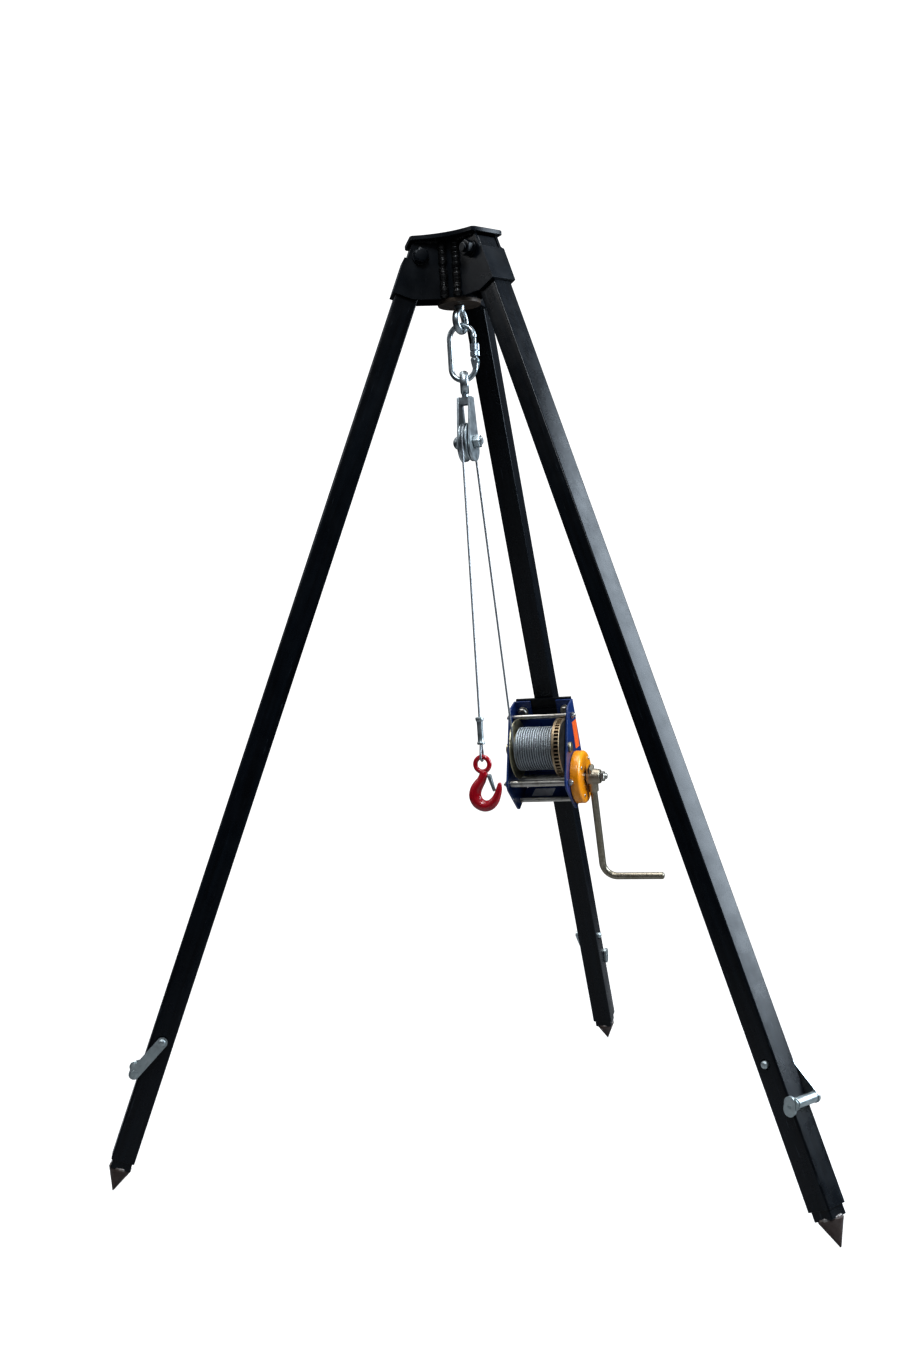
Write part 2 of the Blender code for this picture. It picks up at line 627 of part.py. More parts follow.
def build_hook(parent):
    fall = add_empty("fall_line", Matrix.Translation((0, -ROPE_ON_SHEAVE, 0)), parent)
    ferrule = turned([(FERRULE_END, 0.0062), (FERRULE_END + 0.001, 0.0068), (FERRULE_END + 0.004, 0.0066),
                      (FERRULE_END + 0.006, 0.0054), (FERRULE_TOP - 0.007, 0.0054), (FERRULE_TOP - 0.005, 0.0074),
                      (FERRULE_TOP - 0.001, 0.0074), (FERRULE_TOP, 0.0066)], "Z")
    add_object("rope_ferrule", ferrule, "zinc", fall)

    bar_z = HOOK_EYE_Z + HOOK_EYE_R
    reach = HOOK_EYE_BAR + ROPE_R + LINK_GAP
    loop = [(0, -0.0030, FERRULE_END - GAP), (0, -0.0030, FERRULE_END - 0.002), (0, -0.0046, FERRULE_END - 0.009)]
    loop += [(0, y, z) for y, z in arc((0, bar_z), reach, 180, 360, 8)]
    loop += [(0, -y, z) for x, y, z in loop[2::-1]]
    add_object("rope_eye_loop", swept(loop, ROPE_R), "rope_steel", fall)

    ring = [(a, 0, b) for a, b in arc((0, HOOK_EYE_Z), HOOK_EYE_R, 0, 360, 16)[:-1]]
    hook = add_object("hook_body", swept(ring, HOOK_EYE_BAR, closed=True), "red_paint", fall)
    bowl = [(0.0020, 0.6635, 0.0064), (0.0003, 0.6560, 0.0072), (-0.0035, 0.6475, 0.0082),
            (-0.0100, 0.6390, 0.0096), (-0.0152, 0.6300, 0.0104), (-0.0168, 0.6190, 0.0108),
            (-0.0118, 0.6085, 0.0108), (-0.0010, 0.6024, 0.0101), (0.0100, 0.6040, 0.0092),
            (0.0190, 0.6115, 0.0079), (0.0250, 0.6225, 0.0063), (0.0280, 0.6320, 0.0053),
            (0.0296, 0.6405, 0.0036)]
    curve = smooth_curve(bowl, 2)
    shape = swept([(x, 0, z) for x, z, r in curve], [r for x, z, r in curve])
    combine(hook, "UNION", add_object("hook_bowl", shape, "red_paint", fall))

    latch_hinge = add_empty("latch_hinge", Matrix.Translation((LATCH_PIVOT[0], 0, LATCH_PIVOT[1])), fall)
    outline = hull(circle((0, 0), 0.0030, 12) + circle((0.0074, -0.0255), 0.0016, 8))
    add_object("hook_latch", plate(outline, -0.0042, 0.0042, "Y"), "zinc", latch_hinge)


# Winch -----------------------------------------------------------------------------------------


def build_winch_body(frame):
    bolts = [circle((side, -MOUNT_BOLT_DOWN), 0.0053, 12) for side in (-MOUNT_BOLT_SIDE, MOUNT_BOLT_SIDE)]
    low = -1.030
    mount_outline = [(-WINCH_INSIDE, low), (WINCH_INSIDE, low), (WINCH_INSIDE, -0.842), (-WINCH_INSIDE, -0.842)]
    leg_face = -TUBE / 2 - GAP
    mount = plate(mount_outline, WINCH_BASE_OUT + GAP + 0.0001, leg_face, "Y", bolts)
    add_object("winch_mount_plate", mount, "black_paint", frame)

    edge = WINCH_INSIDE - GAP
    face = WINCH_BASE_OUT - WINCH_PLATE
    pan_end = -0.1025
    bent = [(WINCH_BASE_OUT, low), (WINCH_BASE_OUT, -WINCH_TOP), (face, -WINCH_TOP), (face, low + WINCH_PLATE),
            (pan_end, low + WINCH_PLATE), (pan_end, low)]
    base = add_object("winch_base", plate(bent, -edge, edge, "X"), "blue_paint", frame)
    notch = box((-0.026, -0.05, -0.885), (0.026, 0.0, -0.80))
    combine(base, "DIFFERENCE", add_object("base_notch", notch, "blue_paint", frame))
    for side in (-MOUNT_BOLT_SIDE, MOUNT_BOLT_SIDE):
        hole = turned([(-0.05, 0.0053), (0.0, 0.0053)], "Y", (side, 0, -MOUNT_BOLT_DOWN))
        combine(base, "DIFFERENCE", add_object(f"base_hole_{len(base.modifiers)}", hole, "blue_paint", frame))

    head = WINCH_BASE_OUT - WINCH_PLATE - GAP
    for name, side in (("left", -MOUNT_BOLT_SIDE), ("right", MOUNT_BOLT_SIDE)):
        bolt = turned([(head - 0.0085, 0.0080), (head - 0.0072, 0.0096, "hex"), (head - 0.002, 0.0096, "hex"),
                       (head - 0.002, 0.0105), (head, 0.0105), (head, 0.0048), (leg_face + 0.0003, 0.0048),
                       (leg_face + 0.0003, 0.0096, "hex"), (leg_face + 0.0083, 0.0096, "hex")],
                      "Y", (side, 0, -MOUNT_BOLT_DOWN))
        add_object(f"mount_bolt_{name}", bolt, "zinc", frame)

    corners = [(WINCH_BASE_OUT, -WINCH_TOP), (WINCH_BASE_OUT, -1.022)]
    rounds = [(TIE_RODS["top"], 0.022), (TIE_RODS["front"], 0.018), ((-0.118, 1.027), 0.012)]
    for place, radius in rounds:
        corners += circle((place[0], -place[1]), radius, 20)
    outline = hull(corners)
    holes = [circle((out, -down), TIE_NECK_R + 0.0005, 12) for out, down, rod in TIE_RODS.values()]
    holes += [circle((DRUM_OUT, -DRUM_DOWN), DRUM_AXLE_R + BORE_PLAY),
              circle((CRANK_OUT, -CRANK_DOWN), SHAFT_R + BORE_PLAY)]
    outside = WINCH_INSIDE + WINCH_PLATE
    for name, low, high in (("left", -outside, -WINCH_INSIDE), ("right", WINCH_INSIDE, outside)):
        add_object(f"winch_side_{name}", plate(outline, low, high, "X", holes), "blue_paint", frame)

    end, nut = outside + GAP, outside + 0.0065
    for name, (out, down, rod) in TIE_RODS.items():
        half = [(edge, rod), (edge, TIE_NECK_R), (end, TIE_NECK_R), (end, TIE_NUT_R, "hex"),
                (nut, TIE_NUT_R, "hex"), (nut, TIE_NECK_R), (nut + 0.003, TIE_NECK_R - 0.0008)]
        mirrored = [(-along, *rest) for along, *rest in half[::-1]]
        if name == "bottom":  # its right end is riveted flush under the brake cover
            half = [(edge, rod), (edge, TIE_NECK_R), (outside, TIE_NECK_R)]
        add_object(f"tie_rod_{name}", turned(mirrored + half, "X", (0, out, -down)), "zinc", frame)


def build_drum(frame):
    axis = add_empty("drum_axis", Matrix.Translation((0, DRUM_OUT, -DRUM_DOWN)), frame)
    bore = DRUM_AXLE_R + BORE_PLAY
    left, right = DRUM_LEFT, GEAR_LEFT - GAP
    drum = turned([(left - 0.003, FLANGE_R), (left, FLANGE_R), (left, HUB_R), (right, HUB_R), (right, bore),
                   (left - 0.003, bore)], "X", sides=30, hollow=True)
    add_object("winch_drum", drum, "yellow_zinc", axis)
    winding = turned([(left + GAP, WINDING_R - 0.001), (left + 0.001, WINDING_R), (right - 0.002, WINDING_R),
                      (right - 0.001, WINDING_R - 0.001), (right - 0.001, HUB_R + GAP), (left + GAP, HUB_R + GAP)],
                     "X", sides=30, hollow=True)
    add_object("rope_winding", winding, "rope_steel", axis)
    teeth = gear_outline(GEAR_TEETH, GEAR_MODULE, 0.56, 0.26)
    gear = plate(teeth, GEAR_LEFT, GEAR_RIGHT, "X", [circle((0, 0), bore)])
    add_object("drum_gear", gear, "yellow_zinc", axis)
    end = WINCH_INSIDE + WINCH_PLATE + GAP
    axle = turned([(-end - 0.005, 0.010), (-end - 0.0042, 0.011), (-end, 0.011), (-end, DRUM_AXLE_R),
                   (end, DRUM_AXLE_R), (end, 0.0105), (end + 0.0035, 0.0105), (end + 0.0042, 0.0095)], "X")
    add_object("drum_axle", axle, "yellow_zinc", axis)
    return axis


def build_crank(frame):
    axis = add_empty("crank_axis", Matrix.Translation((0, CRANK_OUT, -CRANK_DOWN)), frame)
    end = WINCH_INSIDE + WINCH_PLATE + GAP
    stub = HUB_RIGHT + 0.0003
    shaft = turned([(-end - 0.005, 0.009), (-end - 0.0042, 0.010), (-end, 0.010), (-end, SHAFT_R), (stub, SHAFT_R),
                    (stub, 0.006), (stub + 0.0115, 0.006), (stub + 0.0125, 0.005)], "X")
    add_object("pinion_shaft", shaft, "zinc", axis)

    bore = SHAFT_R + BORE_PLAY
    toward_drum = math.atan2(CRANK_DOWN - DRUM_DOWN, DRUM_OUT - CRANK_OUT)
    pitch = 2 * math.pi / PINION_TEETH
    gear_pitch = 2 * math.pi / GEAR_TEETH
    toward_pinion = toward_drum - math.pi
    drum_phase = toward_pinion / gear_pitch % 1
    pinion_turn = toward_drum + (0.5 + drum_phase) * pitch
    teeth = gear_outline(PINION_TEETH, GEAR_MODULE, 0.50, 0.22, pinion_turn)
    pinion = plate(teeth, GEAR_LEFT - 0.001, GEAR_RIGHT + 0.001, "X", [circle((0, 0), bore)])
    add_object("pinion", pinion, "yellow_zinc", axis)

    ratchet_outline = []
    ratchet_teeth = 20
    for i in range(ratchet_teeth):
        for share, radius in ((0.0, 0.037), (0.92, 0.033)):
            angle = 2 * math.pi * (i + share) / ratchet_teeth
            ratchet_outline.append((radius * math.cos(angle), radius * math.sin(angle)))
    ratchet = plate(ratchet_outline, RATCHET_SIDE, RATCHET_SIDE + 0.004, "X", [circle((0, 0), bore)])
    add_object("ratchet_wheel", ratchet, "bare_steel", axis)
    disc_left = RATCHET_SIDE + 0.004 + GAP
    disc_right = disc_left + 0.004
    disc = turned([(disc_left, 0.038), (disc_right, 0.038), (disc_right, bore), (disc_left, bore)], "X",
                  sides=24, hollow=True)
    add_object("brake_disc", disc, "bare_steel", axis)

    pawl_hinge = add_empty("pawl_hinge", Matrix.Translation((0, 0.0190, 0.0405)), axis)
    pawl = hull(circle((0, 0), 0.0042, 12) + circle((-0.0165, -0.0013), 0.0018, 8))
    add_object("pawl", plate(pawl, RATCHET_SIDE, RATCHET_SIDE + 0.004, "X"), "bare_steel", pawl_hinge)

    near, far = end + GAP, end + COVER_DEPTH
    inner = COVER_R - COVER_WALL
    cover = turned([(near, COVER_R), (far - 0.005, COVER_R), (far - 0.002, COVER_R - 0.002),
                    (far - 0.0004, COVER_R - 0.006), (far, COVER_R - 0.008), (far, 0.0135),
                    (far - COVER_WALL, 0.0135), (far - COVER_WALL, inner - 0.006), (far - 0.005, inner - 0.0015),
                    (far - 0.0075, inner), (near, inner)], "X", sides=28, hollow=True)
    add_object("brake_cover", cover, "yellow_paint", axis)

    hub = turned([(HUB_LEFT, 0.0165), (HUB_LEFT + 0.012, 0.0165), (HUB_RIGHT, 0.0135), (HUB_RIGHT, bore),
                  (HUB_LEFT, bore)], "X", hollow=True)
    hub = add_object("crank_hub", hub, "yellow_zinc", axis)
    nut = turned([(HUB_RIGHT + 0.0006, 0.0100, "hex"), (HUB_RIGHT + 0.0085, 0.0100, "hex"),
                  (HUB_RIGHT + 0.0085, 0.0064), (HUB_RIGHT + 0.0006, 0.0064)], "X", hollow=True)
    add_object("crank_nut", nut, "zinc", axis)

    arm_frame = add_empty("crank_arm", Matrix.Translation((CRANK_SIDE, 0, 0)) @ Matrix.Rotation(-CRANK_LEAN, 4, "X"),
                          axis)
    boss = turned([(-0.031, 0.0090), (-0.030, 0.0100), (-0.010, 0.0100)], "Z")
    combine(hub, "UNION", add_object("crank_boss", boss, "yellow_zinc", arm_frame))
    corner = [(CRANK_BEND - x, -CRANK_ARM + CRANK_BEND - z)
              for x, z in arc((0, 0), CRANK_BEND, 0, 90, 6)]
    path = [(0, -0.0315), *corner, (CRANK_GRIP - 0.002, -CRANK_ARM), (CRANK_GRIP, -CRANK_ARM)]
    radii = [CRANK_ROD_R] * (len(path) - 1) + [CRANK_ROD_R - 0.002]
    add_object("crank_rod", swept([(x, 0, z) for x, z in path], radii), "yellow_zinc", arm_frame)


def main():
    tripod = add_empty("tripod_axis", Matrix.Translation((0, TRIPOD_Y, 0)))
    build_top_plate(tripod)
    build_column(tripod)
    build_lifting_eye(tripod)
    for which, azimuth in LEG_AZIMUTHS.items():
        arm_frame = add_empty(f"arm_frame_{which}", Matrix.Rotation(math.radians(azimuth - 90), 4, "Z"), tripod)
        leg_frame = add_empty(f"leg_frame_{which}",
                              Matrix.Translation((0, PIVOT_RADIUS, PIVOT_Z)) @ Matrix.Rotation(LEG_TILT, 4, "X"),
                              arm_frame)
        build_arm(which, arm_frame, leg_frame)
        build_pivot_bolt(which, leg_frame)
        build_leg(which, leg_frame)
        build_lock(which, leg_frame)
        if which == "rear":
            build_winch_body(leg_frame)
            build_drum(leg_frame)
            build_crank(leg_frame)
    build_carabiner(tripod)
    build_block(tripod)
    build_rope(tripod)
    build_hook(tripod)


clear_scene()
MATERIALS = make_materials()
main()
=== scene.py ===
"""The looks of the tripod hoist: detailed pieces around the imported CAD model, and the stage.

Lengths are in metres. A leg's own frame has its origin at the head bolt, X sideways, Y outward and
Z up along the leg, so a distance down the leg is a negative Z.
"""

import json
import math

import bmesh
import bpy
from mathutils import Matrix, Vector, noise

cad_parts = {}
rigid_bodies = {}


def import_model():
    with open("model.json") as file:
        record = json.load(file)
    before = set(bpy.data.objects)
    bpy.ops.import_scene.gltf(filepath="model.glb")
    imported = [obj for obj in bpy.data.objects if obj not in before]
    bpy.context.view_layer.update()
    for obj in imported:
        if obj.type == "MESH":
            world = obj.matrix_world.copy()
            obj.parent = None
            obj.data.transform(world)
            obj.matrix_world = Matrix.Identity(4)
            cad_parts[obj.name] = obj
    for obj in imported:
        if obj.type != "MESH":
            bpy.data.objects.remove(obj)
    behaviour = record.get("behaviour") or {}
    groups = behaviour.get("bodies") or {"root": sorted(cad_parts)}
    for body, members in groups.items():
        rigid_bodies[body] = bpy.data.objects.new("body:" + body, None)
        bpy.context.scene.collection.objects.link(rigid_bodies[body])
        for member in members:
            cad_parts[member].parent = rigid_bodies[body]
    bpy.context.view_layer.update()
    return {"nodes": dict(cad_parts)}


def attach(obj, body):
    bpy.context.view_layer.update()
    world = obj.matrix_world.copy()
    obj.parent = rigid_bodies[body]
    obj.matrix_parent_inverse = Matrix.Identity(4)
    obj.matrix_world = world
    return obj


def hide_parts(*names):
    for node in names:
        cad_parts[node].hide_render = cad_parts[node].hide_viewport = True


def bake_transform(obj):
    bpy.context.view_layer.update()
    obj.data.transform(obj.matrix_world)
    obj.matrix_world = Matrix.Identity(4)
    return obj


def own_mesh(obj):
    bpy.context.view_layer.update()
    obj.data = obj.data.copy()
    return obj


GAP = 0.0003  # between a piece and its neighbours
PLAY = 0.0006  # between a shaft and its bore
FINE_SIDES = 96  # around a large turned piece
SHARP_ANGLE = 32  # in degrees: flatter edges are shaded smooth
ROUNDED_ANGLE = 40  # in degrees: sharper edges are rounded
LABEL_LOW, LABEL_HIGH = 0.0001, 0.0004  # a label's faces above the plate that it is on

# Stance, as in the CAD
TRIPOD_Y = -0.16666
LEG_TILT = math.radians(21.84)
LEG_AZIMUTHS = {"rear": 90.0, "left": 210.0, "right": 330.0}
PIVOT_RADIUS = 0.0682
PIVOT_Z = 1.560999

# Head
PLATE_UNDER = PIVOT_Z + 0.0258
PLATE_THICK = 0.008
LOBE_RADIUS = 0.086
LOBE_HALF = 0.033
LOBE_SAG = 0.0106
COLUMN_R = 0.038
COLUMN_WALL = 0.005
COLUMN_BOTTOM = PIVOT_Z - 0.0736
DISC_THICK = 0.007
ARM_HALF = 0.026
ARM_WALL = 0.005
ARM_INNER_RADIUS = 0.0321
ARM_END = 0.075
WEB_TOP = 0.011
WEB_INSIDE = 0.0205
PIVOT_BOLT_R = 0.0078
PIVOT_HEX_R = 0.0138
WELD_R = 0.0078

# Legs
TUBE = 0.040
TUBE_WALL = 0.0025
TUBE_TOP = -0.014
TUBE_END = 1.626
INNER_TUBE = 0.034
INNER_TOP = 0.915
INNER_END = 1.6405
LEG_EDGE = 0.0004  # the rounding of the tubes' edges
SPIKE_BASE_R = 0.0188
SPIKE_END = 1.6813
PIN_DOWN = 1.415
PIN_R = 0.0062
PIN_HOLE_R = 0.0078
HOLE_PITCH = 0.070
HOLE_COUNT = 7
LOCK_BAR_R = 0.008
LOCK_BAR_OUT = 0.0284
LOCK_BAR_DOWN = 0.063
LOCK_LINK_R = 0.009
LOCK_LINK_SIDE = 0.0235

# Hoist line
LINK_GAP = 0.0008
EYE_Z = 1.4535
EYE_R = 0.0185
EYE_BAR_R = 0.00525
EYE_TURN = math.radians(-6.0)  # about the vertical, from the YZ plane
CARABINER_R = 0.02275
CARABINER_BAR_R = 0.00475
CARABINER_TOP = EYE_Z - EYE_R + EYE_BAR_R + LINK_GAP + CARABINER_BAR_R - CARABINER_R
CARABINER_LOW = CARABINER_TOP - 0.0505
GATE_HINGE_Z = CARABINER_LOW + 0.009
GATE_R = 0.0043
SLEEVE_R = 0.0083
BLOCK_EYE_R = 0.0160
BLOCK_EYE_BAR = 0.0055
BLOCK_EYE_TURN = math.radians(19.0)
BLOCK_EYE_Z = CARABINER_LOW - CARABINER_R + CARABINER_BAR_R + LINK_GAP - BLOCK_EYE_R + BLOCK_EYE_BAR
CHEEK_INSIDE = 0.0083
CHEEK_THICK = 0.004
CHEEK_TOP = 1.320
CHEEK_ROUND_Z = 1.2315
CHEEK_ROUND_R = 0.025
SHEAVE_Z = 1.241
SHEAVE_R = 0.034
SHEAVE_BORE = 0.007
ROPE_R = 0.002
ROPE_ON_SHEAVE = 0.032
ROPE_LAY = 0.026  # the length of one turn of a strand
FERRULE_TOP = 0.758
FERRULE_END = 0.710
HOOK_EYE_Z = 0.6755
HOOK_EYE_R = 0.0129
HOOK_EYE_BAR = 0.0042
LATCH_PIVOT = (0.0115, 0.6548)

# Winch
WINCH_INSIDE = 0.057
WINCH_PLATE = 0.004
WINCH_OUTSIDE = WINCH_INSIDE + WINCH_PLATE
WINCH_TOP = 0.845
WINCH_LOW = 1.030
WINCH_BASE_OUT = -0.0264
DRUM_OUT, DRUM_DOWN = -0.102, 0.9145
GEAR_MODULE = 0.0024
GEAR_TEETH = 46
PINION_TEETH = 15
MESH_DISTANCE = GEAR_MODULE * (GEAR_TEETH + PINION_TEETH) / 2
CRANK_ANGLE = math.radians(-9.8)
CRANK_OUT = DRUM_OUT - MESH_DISTANCE * math.sin(CRANK_ANGLE)
CRANK_DOWN = DRUM_DOWN + MESH_DISTANCE * math.cos(CRANK_ANGLE)
TIE_RODS = {"top": (-0.057, 0.867, 0.0048), "front": (-0.146, 0.969, 0.0065),
            "bottom": (-0.108, 1.025, 0.0050)}
TIE_NECK_R = 0.0036
TIE_NUT_R = 0.0062
MOUNT_TOP = 0.842
MOUNT_BOLT_SIDE, MOUNT_BOLT_DOWN = 0.044, 0.866
MOUNT_HOLE_R = 0.0053
HUB_R = 0.0348
FLANGE_R = 0.0585
PAN_END = -0.1025  # how far out the base's bent foot reaches
DRUM_LEFT = -0.042
GEAR_LEFT, GEAR_RIGHT = 0.0403, 0.0553
RIM_LEFT, RIM_RIGHT = 0.0046, 0.0015  # how thick the rims are that close the gear's teeth at the sides
ROOT_SHADOW_R = 0.0531  # painted shade: a dark disc in the gear's roots and over its right face
DRUM_AXLE_R = 0.007
SHAFT_R = 0.0075
COVER_R = 0.052
COVER_WALL = 0.0025
COVER_DEPTH = 0.0200
HUB_LEFT, HUB_RIGHT = 0.0835, 0.1100
CRANK_SIDE = 0.0925
CRANK_ARM = 0.210
CRANK_LEAN = math.radians(9.0)
CRANK_BEND = 0.028
CRANK_GRIP = 0.122
CRANK_ROD_R = 0.007
WINDING_TURNS = 16
WOUND_STRANDS = 0.3  # how strong the painted shade in the strands' grooves is on the drum
INNER_WINDING_R, OUTER_WINDING_R = 0.0371, 0.0410
WINDING_LEFT, WINDING_RIGHT = -0.0390, 0.0370
ROPE_START_SIDE = -0.039

# Stage
FLOOR_FADE_START, FLOOR_FADE_END = 0.9, 2.6
FLOOR_COVER = 0.3  # the rest of the floor lets the backdrop through
ROOM_LOW, ROOM_HIGH = (0.030, 0.033, 0.038), (0.40, 0.43, 0.47)

# Camera, from the tripod's axis
CAMERA_PLACE = Vector((0.8519, -2.4699, 0.8799))
CAMERA_YAW = math.radians(-20.30)
CAMERA_PITCH = math.radians(-1.10)
CAMERA_ROLL = math.radians(-3.63)
CAMERA_LENS = 39.33

ORIGIN = Matrix.Identity(4)
TRIPOD = Matrix.Translation((0, TRIPOD_Y, 0))
FALL = Matrix.Translation((0, TRIPOD_Y - ROPE_ON_SHEAVE, 0))


def arm_frame(which):
    return TRIPOD @ Matrix.Rotation(math.radians(LEG_AZIMUTHS[which] - 90), 4, "Z")


def leg_frame(which):
    head_bolt = Matrix.Translation((0, PIVOT_RADIUS, PIVOT_Z))
    return arm_frame(which) @ head_bolt @ Matrix.Rotation(LEG_TILT, 4, "X")


DRUM_FRAME = leg_frame("rear") @ Matrix.Translation((0, DRUM_OUT, -DRUM_DOWN))
CRANK_FRAME = leg_frame("rear") @ Matrix.Translation((0, CRANK_OUT, -CRANK_DOWN))


# Materials -------------------------------------------------------------------------------------


class Finish:
    """A node material under construction: a Principled shader fed by procedural textures."""

    def __init__(self, name):
        self.material = bpy.data.materials.new(name)
        self.material.use_nodes = True
        self.nodes = self.material.node_tree.nodes
        self.links = self.material.node_tree.links
        self.shader = self.nodes["Principled BSDF"]
        self.coordinates = self.nodes.new("ShaderNodeTexCoord").outputs["Object"]

    def set(self, **values):
        for name, value in values.items():
            self.shader.inputs[name.replace("_", " ")].default_value = value

    def link(self, source, name):
        self.links.new(source, self.shader.inputs[name])

    def noise(self, scale, detail=4.0, roughness=0.55, stretch=(1, 1, 1)):
        mapping = self.nodes.new("ShaderNodeMapping")
        mapping.inputs["Scale"].default_value = stretch
        self.links.new(self.coordinates, mapping.inputs["Vector"])
        texture = self.nodes.new("ShaderNodeTexNoise")
        texture.inputs["Scale"].default_value = scale
        texture.inputs["Detail"].default_value = detail
        texture.inputs["Roughness"].default_value = roughness
        self.links.new(mapping.outputs["Vector"], texture.inputs["Vector"])
        return texture.outputs["Fac"]

    def ramp(self, source, stops):
        """Maps 0 to 1 through (place, value or colour) stops."""
        node = self.nodes.new("ShaderNodeValToRGB")
        elements = node.color_ramp.elements
        while len(elements) < len(stops):
            elements.new(0.5)
        for element, (place, value) in zip(elements, stops):
            element.position = place
            color = value if isinstance(value, tuple) else (value, value, value)
            element.color = (*color, 1.0)
        self.links.new(source, node.inputs["Fac"])
        return node.outputs["Color"]

    def mix(self, amount, first, second):
        node = self.nodes.new("ShaderNodeMix")
        node.data_type = "RGBA"
        in_use = [socket for socket in node.inputs if socket.enabled]
        for value, socket in zip((amount, first, second), in_use):
            self.feed(value, socket)
        return [socket for socket in node.outputs if socket.enabled][0]

    def feed(self, value, socket):
        if isinstance(value, bpy.types.NodeSocket):
            self.links.new(value, socket)
        elif isinstance(value, tuple):
            socket.default_value = (*value, 1.0)
        else:
            socket.default_value = value

    def math(self, operation, first, second):
        node = self.nodes.new("ShaderNodeMath")
        node.operation = operation
        for value, socket in zip((first, second), node.inputs):
            self.feed(value, socket)
        return node.outputs["Value"]

    def edges(self, radius, low=0.02, high=0.16):
        """1 along edges and corners, 0 on open faces, broken up so that wear looks rubbed."""
        rounded = self.nodes.new("ShaderNodeBevel")
        rounded.samples = 4
        rounded.inputs["Radius"].default_value = radius
        true_normal = self.nodes.new("ShaderNodeNewGeometry").outputs["Normal"]
        product = self.nodes.new("ShaderNodeVectorMath")
        product.operation = "DOT_PRODUCT"
        self.links.new(rounded.outputs["Normal"], product.inputs[0])
        self.links.new(true_normal, product.inputs[1])
        turned_away = self.math("SUBTRACT", 1.0, product.outputs["Value"])
        broken = self.math("MULTIPLY", turned_away,
                           self.ramp(self.noise(160), [(0.42, 0.0), (0.62, 1.0)]))
        return self.ramp(broken, [(low, 0.0), (high, 1.0)])

    def rough(self, span, scale, detail=4, stretch=(1, 1, 1)):
        """Roughness that drifts between the two values of span."""
        low, high = span
        drift = self.noise(scale, detail, stretch=stretch)
        self.link(self.ramp(drift, [(0.3, low), (0.7, high)]), "Roughness")

    def bump(self, *layers):
        """Bump from (height, strength, distance) layers."""
        normal = None
        for height, strength, distance in layers:
            node = self.nodes.new("ShaderNodeBump")
            node.inputs["Strength"].default_value = strength
            node.inputs["Distance"].default_value = distance
            self.links.new(height, node.inputs["Height"])
            if normal is not None:
                self.links.new(normal, node.inputs["Normal"])
            normal = node.outputs["Normal"]
        self.link(normal, "Normal")


def painted(name, base, shade, worn, roughness, streaks=(1, 1, 1), coat=0.0, wear=0.5, peel=0.25,
            sheen=0.5):
    """Paint on steel: two close tones in drifts or streaks, orange peel, scuffs and rubbed edges."""
    finish = Finish(name)
    drift = finish.ramp(finish.noise(14, 5, stretch=streaks), [(0.36, 0.0), (0.68, 1.0)])
    color = finish.mix(drift, base, shade)
    scuff = finish.ramp(finish.noise(240, 3, 0.7, stretch=(1, 1, 0.06)), [(0.66, 0.0), (0.74, 0.35)])
    color = finish.mix(scuff, color, worn)
    edge = finish.math("MULTIPLY", finish.edges(0.0009), wear)
    color = finish.mix(edge, color, worn)
    finish.link(color, "Base Color")
    finish.rough(roughness, 34)
    finish.set(Coat_Weight=coat, Coat_Roughness=0.12, Specular_IOR_Level=sheen)
    finish.bump((finish.noise(760, 2), peel, 0.0002), (finish.noise(60, 3), 0.15, 0.0006))
    return finish.material


def plated(name, base, shade, tint, roughness, grain=(1, 1, 1), bump=0.2):
    """Plated or bare bright steel: metal with drifting tone, fine grain and dull patches."""
    finish = Finish(name)
    drift = finish.ramp(finish.noise(48, 5, stretch=grain), [(0.34, 0.0), (0.66, 1.0)])
    color = finish.mix(drift, base, shade)
    patches = finish.ramp(finish.noise(95, 3), [(0.52, 0.0), (0.66, 0.55)])
    color = finish.mix(patches, color, tint)
    finish.link(color, "Base Color")
    finish.set(Metallic=1.0)
    finish.rough(roughness, 130, stretch=grain)
    finish.bump((finish.noise(900, 2, stretch=grain), bump, 0.0001),
                (finish.noise(110, 3), 0.3 * bump, 0.0003))
    return finish.material


def bare_steel(name, base, rust, roughness):
    """Steel without a coat, dull where it has rusted."""
    finish = Finish(name)
    patches = finish.ramp(finish.noise(75, 6, 0.65), [(0.40, 0.0), (0.60, 1.0)])
    color = finish.mix(patches, base, rust)
    finish.link(color, "Base Color")
    finish.link(finish.ramp(patches, [(0.0, 0.75), (1.0, 0.15)]), "Metallic")
    finish.rough(roughness, 120)
    finish.bump((finish.noise(420, 4, 0.7), 0.5, 0.0004),)
    return finish.material


def wire_rope():
    """Strands of fine wires, which run along the strands. The grooves between the strands get painted
    shade.
    """
    finish = Finish("wire_rope")
    # The groove attribute holds painted shade
    groove = finish.nodes.new("ShaderNodeAttribute")
    groove.attribute_name = "groove"
    groove_shade = groove.outputs["Fac"]
    wires = finish.nodes.new("ShaderNodeTexWave")
    wires.inputs["Scale"].default_value = 1.0
    wires.inputs["Distortion"].default_value = 0.3
    along = finish.nodes.new("ShaderNodeUVMap")
    along.uv_map = "rope"
    finish.links.new(along.outputs["UV"], wires.inputs["Vector"])
    lit = finish.mix(finish.noise(70, 3), (0.48, 0.52, 0.55), (0.68, 0.73, 0.77))
    lit = finish.mix(finish.math("MULTIPLY", wires.outputs["Fac"], 0.35), lit, (0.24, 0.25, 0.26))
    # Painted shade: the groove attribute darkens the rope in the grooves between strands and where turns
    # on the drum shade each other
    color = finish.mix(groove_shade, lit, (0.028, 0.029, 0.032))
    finish.link(color, "Base Color")
    finish.set(Metallic=0.9)
    finish.rough((0.30, 0.48), 200, 3)
    finish.bump((wires.outputs["Fac"], 0.35, 0.0002),)
    return finish.material


